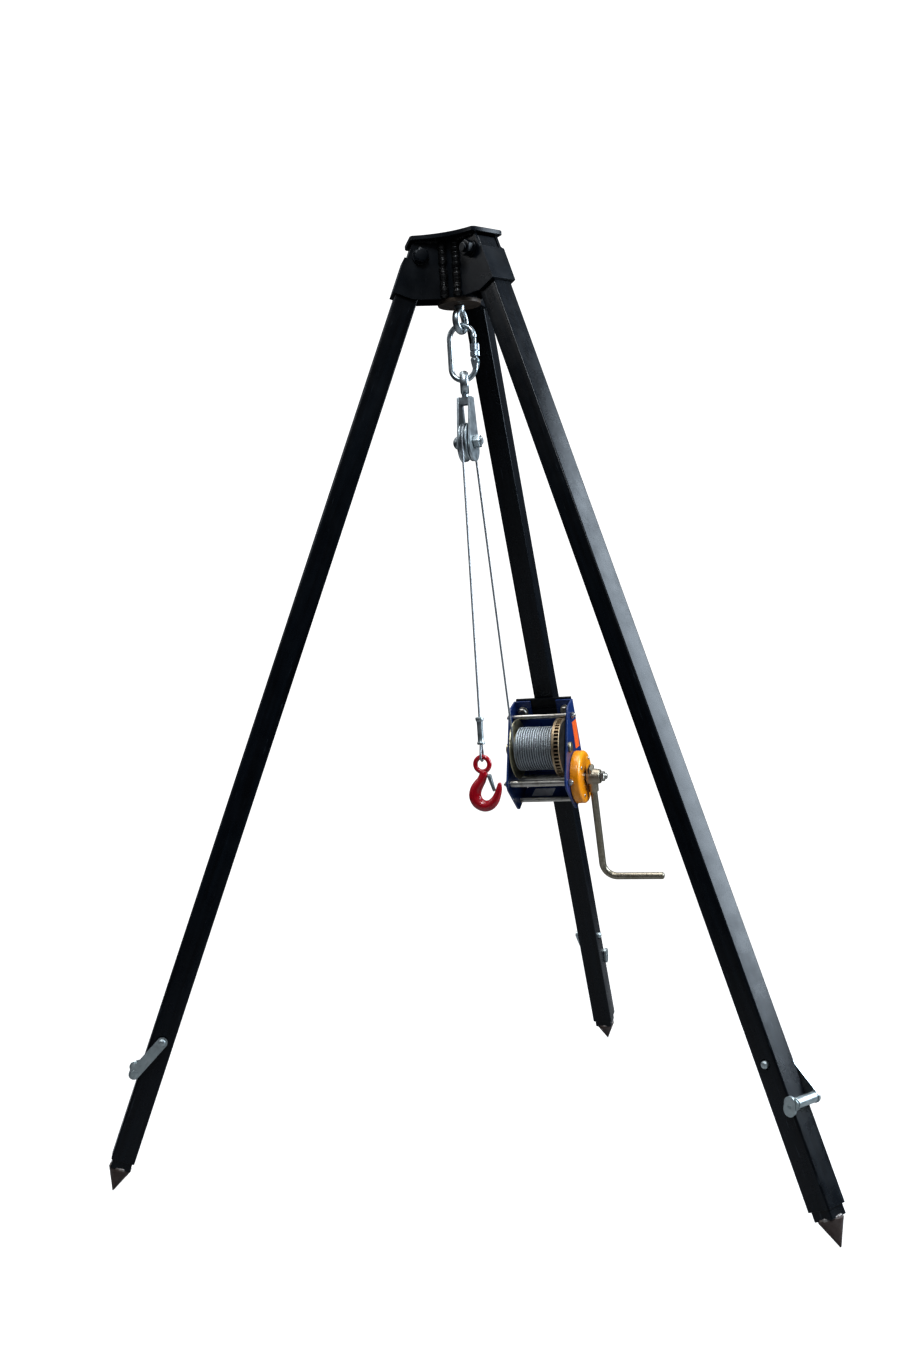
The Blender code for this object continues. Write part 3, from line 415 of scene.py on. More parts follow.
def label_film(name, base, shade):
    """A printed label without its print."""
    finish = Finish(name)
    drift = finish.ramp(finish.noise(60, 4), [(0.4, 0.0), (0.7, 1.0)])
    finish.link(finish.mix(drift, base, shade), "Base Color")
    finish.rough((0.32, 0.48), 200, 2)
    finish.bump((finish.noise(300, 2), 0.1, 0.0001),)
    return finish.material


def make_finishes():
    """Every finish by its name, each from its tones and its span of roughness."""
    finishes = {"wire_rope": wire_rope()}

    def add(make, name, *tones, **looks):
        finishes[name] = make(name, *tones, **looks)

    add(painted, "leg_paint", (0.0012, 0.0022, 0.0038), (0.0036, 0.0064, 0.0100), (0.08, 0.10, 0.12),
        (0.22, 0.34), streaks=(7.0, 7.0, 0.35), wear=0.3, sheen=0.28)
    add(painted, "black_paint", (0.0014, 0.0025, 0.0042), (0.0042, 0.0072, 0.0112), (0.08, 0.09, 0.10),
        (0.26, 0.42), wear=0.25, sheen=0.26)
    add(painted, "weld", (0.0030, 0.0033, 0.0040), (0.012, 0.011, 0.011), (0.06, 0.055, 0.05),
        (0.30, 0.46), coat=0.1, wear=0.08, peel=0.6)
    add(painted, "red_paint", (0.46, 0.004, 0.018), (0.34, 0.002, 0.012), (0.16, 0.006, 0.01),
        (0.16, 0.30), coat=0.6, wear=0.25, peel=0.5)
    add(painted, "blue_paint", (0.004, 0.022, 0.105), (0.007, 0.038, 0.165), (0.14, 0.20, 0.28),
        (0.26, 0.42), coat=0.2, wear=0.5)
    add(painted, "yellow_paint", (0.92, 0.36, 0.004), (0.84, 0.28, 0.002), (0.60, 0.22, 0.02),
        (0.20, 0.34), coat=0.4, wear=0.3)
    add(plated, "zinc_plate", (0.44, 0.49, 0.51), (0.56, 0.62, 0.64), (0.34, 0.38, 0.40), (0.27, 0.40))
    add(plated, "knurl_zinc", (0.34, 0.37, 0.40), (0.46, 0.50, 0.54), (0.24, 0.26, 0.28), (0.26, 0.42),
        bump=0.4)
    add(plated, "forged_zinc", (0.42, 0.47, 0.49), (0.54, 0.59, 0.61), (0.30, 0.33, 0.35), (0.30, 0.44),
        bump=0.3)
    add(plated, "lock_zinc", (0.40, 0.46, 0.47), (0.52, 0.58, 0.59), (0.32, 0.36, 0.37), (0.34, 0.48))
    add(plated, "rod_steel", (0.42, 0.405, 0.37), (0.56, 0.545, 0.50), (0.27, 0.24, 0.20), (0.26, 0.40),
        grain=(0.25, 6, 6))
    add(plated, "yellow_zinc", (0.34, 0.31, 0.20), (0.44, 0.40, 0.28), (0.24, 0.20, 0.13), (0.30, 0.48))
    add(plated, "gear_zinc", (0.33, 0.25, 0.16), (0.43, 0.34, 0.23), (0.17, 0.11, 0.07), (0.36, 0.5))
    add(plated, "cast_zinc", (0.30, 0.27, 0.21), (0.39, 0.35, 0.28), (0.17, 0.145, 0.11), (0.36, 0.55),
        bump=0.8)
    add(plated, "rod_zinc", (0.26, 0.235, 0.18), (0.34, 0.31, 0.25), (0.18, 0.16, 0.12), (0.30, 0.44),
        grain=(5, 5, 0.4))
    add(bare_steel, "bare_steel", (0.105, 0.085, 0.078), (0.050, 0.030, 0.024), (0.38, 0.62))
    add(bare_steel, "weld_steel", (0.30, 0.29, 0.28), (0.13, 0.10, 0.085), (0.30, 0.5))
    add(bare_steel, "disc_steel", (0.105, 0.082, 0.062), (0.055, 0.038, 0.028), (0.4, 0.6))
    # A near-black finish, used only for painted shade on the gear
    add(bare_steel, "grime", (0.016, 0.012, 0.009), (0.008, 0.006, 0.005), (0.6, 0.8))
    add(label_film, "orange_label", (0.86, 0.15, 0.025), (0.78, 0.12, 0.02))
    add(label_film, "grey_label", (0.62, 0.63, 0.66), (0.50, 0.52, 0.56))
    return finishes


# Shapes ----------------------------------------------------------------------------------------


def circle(centre, radius, count=48):
    step = 2 * math.pi / count
    return [(centre[0] + radius * math.cos(i * step), centre[1] + radius * math.sin(i * step))
            for i in range(count)]


def rounded_square(side, corner, steps=6):
    inner = side / 2 - corner
    points = []
    for quarter in range(4):
        start = quarter * math.pi / 2
        middle = start + math.pi / 4
        cx = math.copysign(inner, math.cos(middle))
        cy = math.copysign(inner, math.sin(middle))
        for i in range(steps + 1):
            angle = start + i * math.pi / 2 / steps
            points.append((cx + corner * math.cos(angle), cy + corner * math.sin(angle)))
    return points


def hull(points):
    """The convex outline around the points, anticlockwise."""
    ordered = sorted(set((round(a, 7), round(b, 7)) for a, b in points))

    def half(sequence):
        chain = []
        for p in sequence:
            while len(chain) > 1:
                (ax, ay), (bx, by) = chain[-2], chain[-1]
                if (bx - ax) * (p[1] - ay) - (by - ay) * (p[0] - ax) > 1e-9:
                    break
                chain.pop()
            chain.append(p)
        return chain[:-1]

    return half(ordered) + half(ordered[::-1])


def around(*rounds, count=48):
    """The outline that a belt takes around (centre, radius) rounds."""
    return hull([point for centre, radius in rounds for point in circle(centre, radius, count)])


def dome(base, rise, radius, angles):
    """Sections of a dome that rises from base, at these angles above its edge in degrees."""
    return [(base + rise * math.sin(math.radians(a)), radius * math.cos(math.radians(a))) for a in angles]


def mirrored(half):
    """Sections for both sides of zero, from those of the positive side."""
    return [(-along, *rest) for along, *rest in half[::-1]] + half


def gear_outline(teeth, module, root_share, tip_share, turn=0.0):
    """Teeth with slightly rounded flanks: the shares are of the pitch, at the root and at the tip."""
    pitch = 2 * math.pi / teeth
    root = module * teeth / 2 - 1.15 * module
    tip = module * teeth / 2 + 0.75 * module
    middle_share = (root_share + tip_share) / 2 + 0.05
    profile = [(root, -root_share / 2), ((root + tip) / 2, -middle_share / 2), (tip, -tip_share / 2),
               (tip, tip_share / 2), ((root + tip) / 2, middle_share / 2), (root, root_share / 2)]
    points = []
    for tooth in range(teeth):
        for radius, offset in profile:
            angle = turn + (tooth + offset) * pitch
            points.append((radius * math.cos(angle), radius * math.sin(angle)))
    return points


def to_space(a, b, c, normal):
    """Places an outline's point (a, b) at height c along the axis named normal."""
    return {"X": (c, a, b), "Y": (a, c, b), "Z": (a, b, c)}[normal]


def plate(outline, low, high, normal, holes=()):
    """A flat plate with straight edges and through holes."""
    bm = bmesh.new()
    for loop in (outline, *holes):
        verts = [bm.verts.new(to_space(a, b, low, normal)) for a, b in loop]
        for first, second in zip(verts, verts[1:] + verts[:1]):
            bm.edges.new((first, second))
    if holes:
        bmesh.ops.triangle_fill(bm, edges=bm.edges, use_beauty=True)
    else:
        bm.faces.new(bm.verts)
    side = bmesh.ops.extrude_face_region(bm, geom=list(bm.faces), use_keep_orig=True)
    moved = [item for item in side["geom"] if isinstance(item, bmesh.types.BMVert)]
    bmesh.ops.translate(bm, verts=moved, vec=to_space(0, 0, high - low, normal))
    return bm


def box(low, high):
    bm = bmesh.new()
    size = Vector(high) - Vector(low)
    centre = (Vector(high) + Vector(low)) / 2
    bmesh.ops.create_cube(bm, size=1.0, matrix=Matrix.Translation(centre) @ Matrix.Diagonal((*size, 1)))
    return bm


def section_scale(shape, index, count):
    """How far out a section reaches at one of its points: a hexagon has flats, and a knurl has valleys."""
    if shape == "hex":
        angle = (index / count * 6 % 1 - 0.5) * math.pi / 3
        return math.cos(math.pi / 6) / math.cos(angle)
    if shape == "knurl":
        return 1.0 - 0.045 * (index % 2)
    return 1.0


def loft(bm, rings, closed):
    """Skins the rings one after another, and closes the ends or joins them."""
    pairs = list(zip(rings, rings[1:]))
    if closed:
        pairs.append((rings[-1], rings[0]))
    else:
        bm.faces.new(rings[0])
        bm.faces.new(rings[-1])
    for first, second in pairs:
        for i, j in zip(range(len(first)), [*range(1, len(first)), 0]):
            bm.faces.new((first[i], first[j], second[j], second[i]))


def turned(sections, axis, centre=(0, 0, 0), sides=48, hollow=False):
    """A shape of sections (along, radius) or (along, radius, shape) about an axis through centre.

    A hollow one's sections run along the outside and back along the bore.
    """
    bm = bmesh.new()
    rings = []
    for along, radius, *shape in sections:
        ring = []
        for i in range(sides):
            reach = radius * section_scale(shape[0] if shape else "", i, sides)
            angle = 2 * math.pi * i / sides
            point = Vector(to_space(reach * math.cos(angle), reach * math.sin(angle), along, axis))
            ring.append(bm.verts.new(point + Vector(centre)))
        rings.append(ring)
    loft(bm, rings, hollow)
    return bm


def tangents_along(points, closed):
    """The path's direction at each of its points."""
    if closed:
        return [(after - before).normalized()
                for before, after in zip(points[-1:] + points[:-1], points[1:] + points[:1])]
    return [(after - before).normalized()
            for before, after in zip(points[:1] + points[:-1], points[1:] + points[-1:])]


def frames_along(points, closed=False):
    """(point, across, other) for each point: two directions across the path that never twist about it."""
    tangents = tangents_along(points, closed)
    across = tangents[0].orthogonal().normalized()
    frames = []
    for point, tangent in zip(points, tangents):
        across = (across - tangent * across.dot(tangent)).normalized()
        frames.append((point, across.copy(), tangent.cross(across)))
    return frames


def swept(path, radii, sides=24, closed=False, flatten=(1.0, 1.0)):
    """A bar along a flat path. flatten stretches its section across the path and along its normal."""
    points = [Vector(p) for p in path]
    count = len(points)
    plane_normal = (points[count // 3] - points[0]).cross(points[2 * count // 3] - points[0])
    plane_normal.normalize()
    bm = bmesh.new()
    rings = []
    for i, (point, tangent) in enumerate(zip(points, tangents_along(points, closed))):
        across = plane_normal.cross(tangent)
        radius = radii[i] if isinstance(radii, list) else radii
        ring = []
        for k in range(sides):
            angle = 2 * math.pi * k / sides
            sideways = across * (math.cos(angle) * flatten[0])
            upward = plane_normal * (math.sin(angle) * flatten[1])
            ring.append(bm.verts.new(point + (sideways + upward) * radius))
        rings.append(ring)
    loft(bm, rings, closed)
    return bm


def arc(centre, radius, start, end, steps):
    """Points of an arc in a plane, from one angle to another, in degrees."""
    return [(centre[0] + radius * math.cos(math.radians(start + (end - start) * i / steps)),
             centre[1] + radius * math.sin(math.radians(start + (end - start) * i / steps)))
            for i in range(steps + 1)]


def upright_ring(height, radius, turn, steps):
    """The middle line of a ring that stands upright, turned about the vertical from the YZ plane."""
    circle_points = arc((0, height), radius, 0, 360, steps)[:-1]
    return [(-a * math.sin(turn), a * math.cos(turn), b) for a, b in circle_points]


def smooth_curve(points, per_span):
    """A Catmull-Rom curve through the points, whatever their dimension."""
    padded = [points[0], *points, points[-1]]
    curve = []
    for p0, p1, p2, p3 in zip(padded, padded[1:], padded[2:], padded[3:]):
        for step in range(per_span):
            t = step / per_span
            curve.append(tuple(
                0.5 * (2 * b + (c - a) * t + (2 * a - 5 * b + 4 * c - d) * t * t
                       + (3 * b - a - 3 * c + d) * t ** 3)
                for a, b, c, d in zip(p0, p1, p2, p3)))
    return [*curve, tuple(points[-1])]


def weld_bead(path, radius, seed, ripple=0.0028):
    """A lumpy bead of weld along a path: overlapping ripples of uneven size."""
    points = [Vector(p) for p in path]
    length = sum((b - a).length for a, b in zip(points, points[1:]))
    count = max(8, int(length / 0.0009))
    spaced = resample(points, count)
    closed = (spaced[0] - spaced[-1]).length < 1e-6
    if closed:
        spaced = spaced[:-1]
    bm = bmesh.new()
    rings = []
    for i, (point, across, other) in enumerate(frames_along(spaced, closed)):
        along = length * i / count
        wobble = noise.noise(Vector((along * 120, seed, 0.0)))
        ridge = abs(math.sin(math.pi * along / ripple))
        here = radius * (0.78 + 0.20 * ridge + 0.48 * wobble)
        if not closed:
            here *= min(1.0, 0.35 + 0.65 * min(i, len(spaced) - 1 - i) / 4)
        centre = point + across * (radius * 0.22 * noise.noise(Vector((along * 70, seed, 5.0))))
        ring = []
        for k in range(12):
            angle = 2 * math.pi * k / 12
            outward = across * math.cos(angle) + other * math.sin(angle)
            ring.append(bm.verts.new(centre + outward * here))
        rings.append(ring)
    loft(bm, rings, closed)
    return bm


def resample(points, count):
    """The path again, with count equal steps."""
    lengths = [0.0]
    for first, second in zip(points, points[1:]):
        lengths.append(lengths[-1] + (second - first).length)
    spaced = []
    span = 0
    for i in range(count + 1):
        target = lengths[-1] * i / count
        while span < len(points) - 2 and lengths[span + 1] < target:
            span += 1
        part = (target - lengths[span]) / max(lengths[span + 1] - lengths[span], 1e-12)
        spaced.append(points[span].lerp(points[span + 1], part))
    return spaced


# Placing pieces --------------------------------------------------------------------------------


def new_object(name, data):
    obj = bpy.data.objects.new(name, data)
    bpy.context.scene.collection.objects.link(obj)
    return obj


def make_object(name, bm, finish, frame):
    """Turns bm into an object with its faces out, shaded smooth with sharp edges kept."""
    bmesh.ops.recalc_face_normals(bm, faces=bm.faces)
    mesh = bpy.data.meshes.new(name)
    bm.to_mesh(mesh)
    bm.free()
    mesh.shade_smooth()
    mesh.set_sharp_from_angle(angle=math.radians(SHARP_ANGLE))
    mesh.materials.append(FINISHES[finish])
    obj = new_object(name, mesh)
    obj.matrix_world = frame
    return obj


def freeze(obj, sharp_angle=SHARP_ANGLE):
    """Makes the shape that the modifiers give the object's own mesh, in the finish that it had."""
    material = obj.data.materials[0]
    bpy.context.view_layer.update()
    evaluated = obj.evaluated_get(bpy.context.evaluated_depsgraph_get())
    mesh = bpy.data.meshes.new_from_object(evaluated)
    obj.modifiers.clear()
    obj.data = mesh
    mesh.shade_smooth()
    mesh.set_sharp_from_angle(angle=math.radians(sharp_angle))
    mesh.materials.clear()
    mesh.materials.append(material)
    for polygon in mesh.polygons:
        polygon.material_index = 0


def combine(obj, operation, bm):
    """Joins bm to obj, or cuts it away."""
    helper = make_object(obj.name + "_helper", bm, "zinc_plate", obj.matrix_world.copy())
    modifier = obj.modifiers.new(operation, "BOOLEAN")
    modifier.operation = operation
    modifier.solver = "EXACT"
    modifier.object = helper
    freeze(obj)
    bpy.data.objects.remove(helper)


def round_edges(obj, width, segments=2):
    modifier = obj.modifiers.new("edges", "BEVEL")
    modifier.width = width
    modifier.segments = segments
    modifier.limit_method = "ANGLE"
    modifier.angle_limit = math.radians(ROUNDED_ANGLE)
    modifier.miter_outer = "MITER_ARC"
    modifier.use_clamp_overlap = True
    modifier.harden_normals = True


def blend_shapes(obj, voxel, passes):
    """Melts overlapping shapes into one smooth forged or cast skin."""
    remesh = obj.modifiers.new("skin", "REMESH")
    remesh.mode = "VOXEL"
    remesh.voxel_size = voxel
    smooth = obj.modifiers.new("soften", "SMOOTH")
    smooth.iterations = passes
    smooth.factor = 0.5
    freeze(obj, 180)


def settle(obj, finish, body, *nodes):
    """Rides the piece on its body, and lets it stand for its CAD nodes."""
    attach(obj, body)
    if nodes:
        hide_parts(*nodes)
    return obj


def add_piece(name, bm, finish, frame, body, *nodes, edge=0.0, cuts=(), joins=()):
    obj = make_object(name, bm, finish, frame)
    for cut in cuts:
        combine(obj, "DIFFERENCE", cut)
    for joined in joins:
        combine(obj, "UNION", joined)
    if edge:
        round_edges(obj, edge)
    return settle(obj, finish, body, *nodes)


# Head ------------------------------------------------------------------------------------------


def from_leg(out, down):
    """A point of the leg's frame as (radius from the tripod's axis, height)."""
    sin, cos = math.sin(LEG_TILT), math.cos(LEG_TILT)
    return (PIVOT_RADIUS + out * cos + down * sin, PIVOT_Z + out * sin - down * cos)


def build_top_plate():
    """The plate over the column: three lobes, one over each arm, with hollow sides between them."""
    outline = []
    corner = Vector((LOBE_RADIUS, LOBE_HALF))
    for azimuth in LEG_AZIMUTHS.values():
        here = Matrix.Rotation(math.radians(azimuth), 2)
        following = Matrix.Rotation(math.radians(azimuth + 120), 2)
        start = here @ corner
        end = following @ Vector((LOBE_RADIUS, -LOBE_HALF))
        inward = -(start + end).normalized()
        cut = 0.004
        outline.append(here @ Vector((LOBE_RADIUS, -LOBE_HALF + cut)))
        outline.append(here @ Vector((LOBE_RADIUS, LOBE_HALF - cut)))
        for i in range(25):
            t = i / 24
            point = start.lerp(end, 0.03 + 0.94 * t)
            outline.append(point + inward * LOBE_SAG * (1 - (2 * t - 1) ** 2))
    body = plate([tuple(p) for p in outline], PLATE_UNDER, PLATE_UNDER + PLATE_THICK, "Z")
    add_piece("head_plate", body, "black_paint", TRIPOD, "root", "top_plate", edge=0.0011)


def build_column():
    """The column between the arms, and the disc that closes it below."""
    low, high = COLUMN_BOTTOM + GAP, PLATE_UNDER - GAP
    inner = COLUMN_R - COLUMN_WALL
    tube = turned([(low, COLUMN_R - 0.0005), (low + 0.0005, COLUMN_R), (high, COLUMN_R), (high, inner),
                   (low, inner)], "Z", sides=96, hollow=True)
    add_piece("head_column", tube, "black_paint", TRIPOD, "root", "centre_column")
    low, high = COLUMN_BOTTOM - DISC_THICK, COLUMN_BOTTOM
    hole = EYE_BAR_R + 0.0015
    disc = turned([(low, COLUMN_R - 0.001), (low + 0.0003, COLUMN_R - 0.0003), (low + 0.001, COLUMN_R),
                   (high, COLUMN_R), (high, hole), (low, hole)], "Z", sides=96, hollow=True)
    add_piece("head_disc", disc, "disc_steel", TRIPOD, "root", "bottom_disc")


def build_arm(which, seed):
    """The channel that a leg hangs in, with its beads of weld on the column and the plate."""
    frame = arm_frame(which)
    top = PLATE_UNDER - GAP
    tan = math.tan(LEG_TILT)
    edge = WEB_INSIDE - GAP
    web = WEB_INSIDE + ARM_WALL
    top_outer = from_leg(edge, 0.0)
    top_outer_radius = top_outer[0] - (top - top_outer[1]) * tan
    end_low = from_leg(0.0, ARM_END)
    end_radius = end_low[0] - (end_low[1] - COLUMN_BOTTOM) / tan
    outline = [(ARM_INNER_RADIUS, top), (ARM_INNER_RADIUS, COLUMN_BOTTOM), (end_radius, COLUMN_BOTTOM),
               from_leg(web, ARM_END), from_leg(web, WEB_TOP), from_leg(edge, WEB_TOP),
               (top_outer_radius, top)]
    slot = ARM_HALF - ARM_WALL
    space = box((-slot, -0.2, -0.2), (slot, WEB_INSIDE, 0.2))
    hole = turned([(-0.05, PIVOT_BOLT_R + PLAY), (0.05, PIVOT_BOLT_R + PLAY)], "X")
    tilt = frame.inverted() @ leg_frame(which)
    for cutter in (space, hole):
        cutter.transform(tilt)
    add_piece(f"head_arm_{which}", plate(outline, -ARM_HALF, ARM_HALF, "X"), "black_paint", frame, "root",
              f"arm_{which}", edge=0.0008, cuts=(space, hole))
    for name, side in (("left", -1), ("right", 1)):
        across = side * (ARM_HALF + 0.0014)
        upright = [(across, 0.0300, COLUMN_BOTTOM + 0.001), (across, 0.0300, PLATE_UNDER - 0.002)]
        column_bead = weld_bead(upright, WELD_R, seed + side)
        add_piece(f"column_weld_{which}_{name}", column_bead, "weld", frame, "root")
        level = PLATE_UNDER - 0.0012
        under = [(across, 0.034, level), (across, top_outer_radius - 0.004, level)]
        plate_bead = weld_bead(under, WELD_R * 0.55, seed + 9 * side)
        add_piece(f"plate_weld_{which}_{name}", plate_bead, "weld", frame, "root")


def build_pivot_bolt(which):
    """The bolt that a leg folds on, with its washers and nut."""
    face = ARM_HALF + GAP
    washer, head, nut = face + 0.003, face + 0.013, face + 0.015
    washers = mirrored([(face, PIVOT_BOLT_R), (face, 0.015), (washer - 0.0005, 0.015), (washer, 0.0145)])
    sections = [(-head, 0.0085), (-head + 0.0004, 0.0108), (-head + 0.0016, 0.0134, "hex"),
                (-washer, PIVOT_HEX_R, "hex"), *washers,
                (washer, 0.0130, "hex"), (washer + 0.0008, PIVOT_HEX_R, "hex"),
                (nut - 0.0010, PIVOT_HEX_R, "hex"), (nut, 0.0122, "hex"), (nut, PIVOT_BOLT_R),
                (nut + 0.004, PIVOT_BOLT_R), (nut + 0.005, PIVOT_BOLT_R - 0.001)]
    bolt = turned(sections, "X", sides=72)
    add_piece(f"head_bolt_{which}", bolt, "black_paint", leg_frame(which), "root", f"pivot_bolt_{which}")


def build_lifting_eye():
    """The eye below the column's disc."""
    ring = upright_ring(EYE_Z, EYE_R, EYE_TURN, 64)
    bar = swept(ring, EYE_BAR_R, closed=True, flatten=(1.0, 1.25))
    under = COLUMN_BOTTOM - DISC_THICK - GAP
    shank = turned([(under - 0.012, 0.0062), (under - 0.006, 0.0088), (under - 0.0005, 0.009),
                    (under, 0.0085), (under, 0.0055), (COLUMN_BOTTOM + 0.012, 0.0055)], "Z")
    add_piece("lifting_ring", bar, "forged_zinc", TRIPOD, "root", "lifting_eye", joins=(shank,))


# Legs ------------------------------------------------------------------------------------------


def square_tube(side, corner, low, high):
    return plate(rounded_square(side, corner), low, high, "Z",
                 [rounded_square(side - 2 * TUBE_WALL, 0.0008, 3)])


def cross_hole(radius, down):
    return turned([(-0.05, radius), (0.05, radius)], "X", (0, 0, -down), 32)


def build_leg(which, seed):
    """The tube with the smaller one that slides in it, and the spike welded to its end."""
    frame = leg_frame(which)
    outer = square_tube(TUBE, 0.003, -TUBE_END, -TUBE_TOP)
    holes = [cross_hole(PIVOT_BOLT_R + PLAY, 0.0), cross_hole(PIN_HOLE_R, PIN_DOWN)]
    add_piece(f"leg_outer_{which}", outer, "leg_paint", frame, f"{which}_leg", f"leg_tube_{which}",
              edge=LEG_EDGE, cuts=holes)
    inner = square_tube(INNER_TUBE, 0.0025, -INNER_END, -INNER_TOP)
    holes = [cross_hole(PIN_HOLE_R, PIN_DOWN - i * HOLE_PITCH) for i in range(HOLE_COUNT)]
    add_piece(f"leg_inner_{which}", inner, "leg_paint", frame, f"{which}_foot", f"inner_leg_{which}",
              edge=LEG_EDGE, cuts=holes)

    base = INNER_END + GAP
    spike = turned([(-base, SPIKE_BASE_R - 0.0012), (-base - 0.0006, SPIKE_BASE_R - 0.0003),
                    (-base - 0.0012, SPIKE_BASE_R), (-base - 0.0030, SPIKE_BASE_R),
                    (-base - 0.0040, 0.0182), (-SPIKE_END + 0.002, 0.0019),
                    (-SPIKE_END + 0.0005, 0.0012), (-SPIKE_END, 0.0006)], "Z", sides=72)
    spike.transform(frame)
    add_piece(f"spike_{which}", spike, "bare_steel", ORIGIN, f"{which}_foot", f"foot_spike_{which}")
    ring = [(a, b, -INNER_END + 0.0004) for a, b in arc((0, 0), 0.0160, 0, 360, 60)]
    bead = weld_bead(ring, 0.0030, seed, 0.0052)
    bead.transform(frame)
    add_piece(f"spike_weld_{which}", bead, "weld_steel", ORIGIN, f"{which}_foot")


def build_lock(which):
    """The lock pin with its link plate, cross bar and end plate, welded into one swinging piece."""
    frame = leg_frame(which) @ Matrix.Translation((0, 0, -PIN_DOWN))
    near, far = -LOCK_LINK_SIDE, -LOCK_LINK_SIDE - 0.004
    face = TUBE / 2 + 0.0006
    pin = turned([*dome(far, -0.0034, PIN_R, range(80, -1, -16)), (far + 0.001, PIN_R),
                  *dome(0.0222, 0.0040, PIN_R, range(0, 81, 16))], "X")
    bar_place = (LOCK_BAR_OUT, -LOCK_BAR_DOWN)
    link = plate(around(((0, 0), LOCK_LINK_R), (bar_place, LOCK_LINK_R)), far, near, "X")
    bar = turned([(far - 0.0014, LOCK_BAR_R - 0.0022), (far - 0.0010, LOCK_BAR_R - 0.0014),
                  (far, LOCK_BAR_R - 0.0010), (near, LOCK_BAR_R), (0.0235, LOCK_BAR_R)], "X",
                 (0, *bar_place))
    oval = around(((0.0225, -0.0600), 0.0100), ((0.0170, -0.0690), 0.0100))
    end = plate(oval, face, TUBE / 2 + 0.0046, "X")
    add_piece(f"lock_{which}", pin, "lock_zinc", frame, f"{which}_lock", f"lock_pin_{which}", edge=0.0006,
              joins=(link, bar, end))
    fillet = arc(bar_place, LOCK_BAR_R + 0.0006, 0, 360, 32)
    bead = weld_bead([(face, b, c) for b, c in fillet], 0.0011, 3.0, 0.002)
    add_piece(f"lock_weld_{which}", bead, "lock_zinc", frame, f"{which}_lock")
    rim = arc(bar_place, LOCK_BAR_R - 0.0016, 0, 360, 32)
    seam = weld_bead([(far - 0.0001, b, c) for b, c in rim], 0.0008, 7.0)
    add_piece(f"lock_seam_{which}", seam, "weld", frame, f"{which}_lock")
    low, high = TUBE / 2 + 0.0042, TUBE / 2 + 0.0056
    mark = turned([(low, 0.0026), (high, 0.0026), (high, 0.0020), (low, 0.0020)], "X",
                  (0, 0.0197, -0.0645), 24, hollow=True)
    add_piece(f"lock_mark_{which}", mark, "lock_zinc", frame, f"{which}_lock")


# Hoist line ------------------------------------------------------------------------------------


def build_carabiner():
    """The oval bow, with its nose above and the forked ears of its gate below."""
    path = [(CARABINER_R, CARABINER_TOP - 0.0015)]
    path += arc((0, CARABINER_TOP), CARABINER_R, 0, 180, 40)
    path += arc((0, CARABINER_LOW), CARABINER_R, 180, 360, 40)
    path += [(CARABINER_R, GATE_HINGE_Z - 0.0054)]
    body = swept([(x, 0, z) for x, z in path], CARABINER_BAR_R, 28)
    nose = turned([(CARABINER_TOP - 0.0016, 0.0042), (CARABINER_TOP - 0.0010, 0.0052),
                   (CARABINER_TOP + 0.0035, 0.0052), (CARABINER_TOP + 0.0045, 0.0046)], "Z",
                  (CARABINER_R, 0, 0))
    cheek_low = GATE_HINGE_Z - 0.0075
    fork = turned([(cheek_low - 0.004, 0.0044), (cheek_low - 0.002, 0.0052),
                   (cheek_low + 0.0022, 0.0052)], "Z", (CARABINER_R, 0, 0))
    ear = around(((CARABINER_R, GATE_HINGE_Z), 0.0062), ((CARABINER_R, GATE_HINGE_Z - 0.0095), 0.0044))
    ears = [plate(ear, low, low + 0.0018, "Y") for low in (-0.0069, 0.0051)]
    bridge = box((CARABINER_R - 0.0040, -0.0062, GATE_HINGE_Z - 0.0130),
                 (CARABINER_R + 0.0040, 0.0062, GATE_HINGE_Z - 0.0060))
    add_piece("carabiner_bow", body, "zinc_plate", TRIPOD, "hoist_line", "carabiner_body",
              joins=(nose, fork, bridge, *ears))


def build_gate():
    """The gate that swings in the bow's ears, and the knurled sleeve that locks it."""
    hinge = TRIPOD @ Matrix.Translation((CARABINER_R, 0, GATE_HINGE_Z))
    length = CARABINER_TOP - 0.0015 - 0.0007 - GATE_HINGE_Z
    knuckle = 0.0048
    rounding = [(-knuckle * math.cos(math.radians(a)), knuckle * math.sin(math.radians(a)))
                for a in range(10, 86, 15)]
    thread = []
    for i in range(5):
        start = length - 0.0100 + i * 0.0018
        thread += [(start, GATE_R), (start + 0.0005, GATE_R - 0.0005), (start + 0.0011, GATE_R - 0.0005),
                   (start + 0.0014, GATE_R)]
    gate = turned([*rounding, (0, knuckle), (0.003, knuckle), (0.0042, GATE_R), *thread,
                   (length - 0.0008, GATE_R), (length, GATE_R - 0.0008)], "Z")
    add_piece("gate_bar", gate, "zinc_plate", hinge, "gate", "carabiner_gate")
    rivet = turned(mirrored([(0.0069, 0.0030), (0.0074, 0.0028), (0.0078, 0.0020)]), "Y", sides=28)
    add_piece("gate_rivet", rivet, "forged_zinc", hinge, "hoist_line")
    bore = GATE_R + 0.0005
    sleeve = turned([(0.0072, SLEEVE_R - 0.0010), (0.0078, SLEEVE_R, "knurl"),
                     (0.0154, SLEEVE_R, "knurl"), (0.0160, SLEEVE_R - 0.0010), (0.0161, 0.0066),
                     (0.0171, 0.0066), (0.0172, SLEEVE_R - 0.0010), (0.0178, SLEEVE_R, "knurl"),
                     (0.0286, SLEEVE_R, "knurl"), (0.0294, SLEEVE_R - 0.0012), (0.0294, bore),
                     (0.0072, bore)], "Z", sides=72, hollow=True)
    add_piece("gate_nut", sleeve, "knurl_zinc", hinge, "gate_sleeve", "carabiner_sleeve")


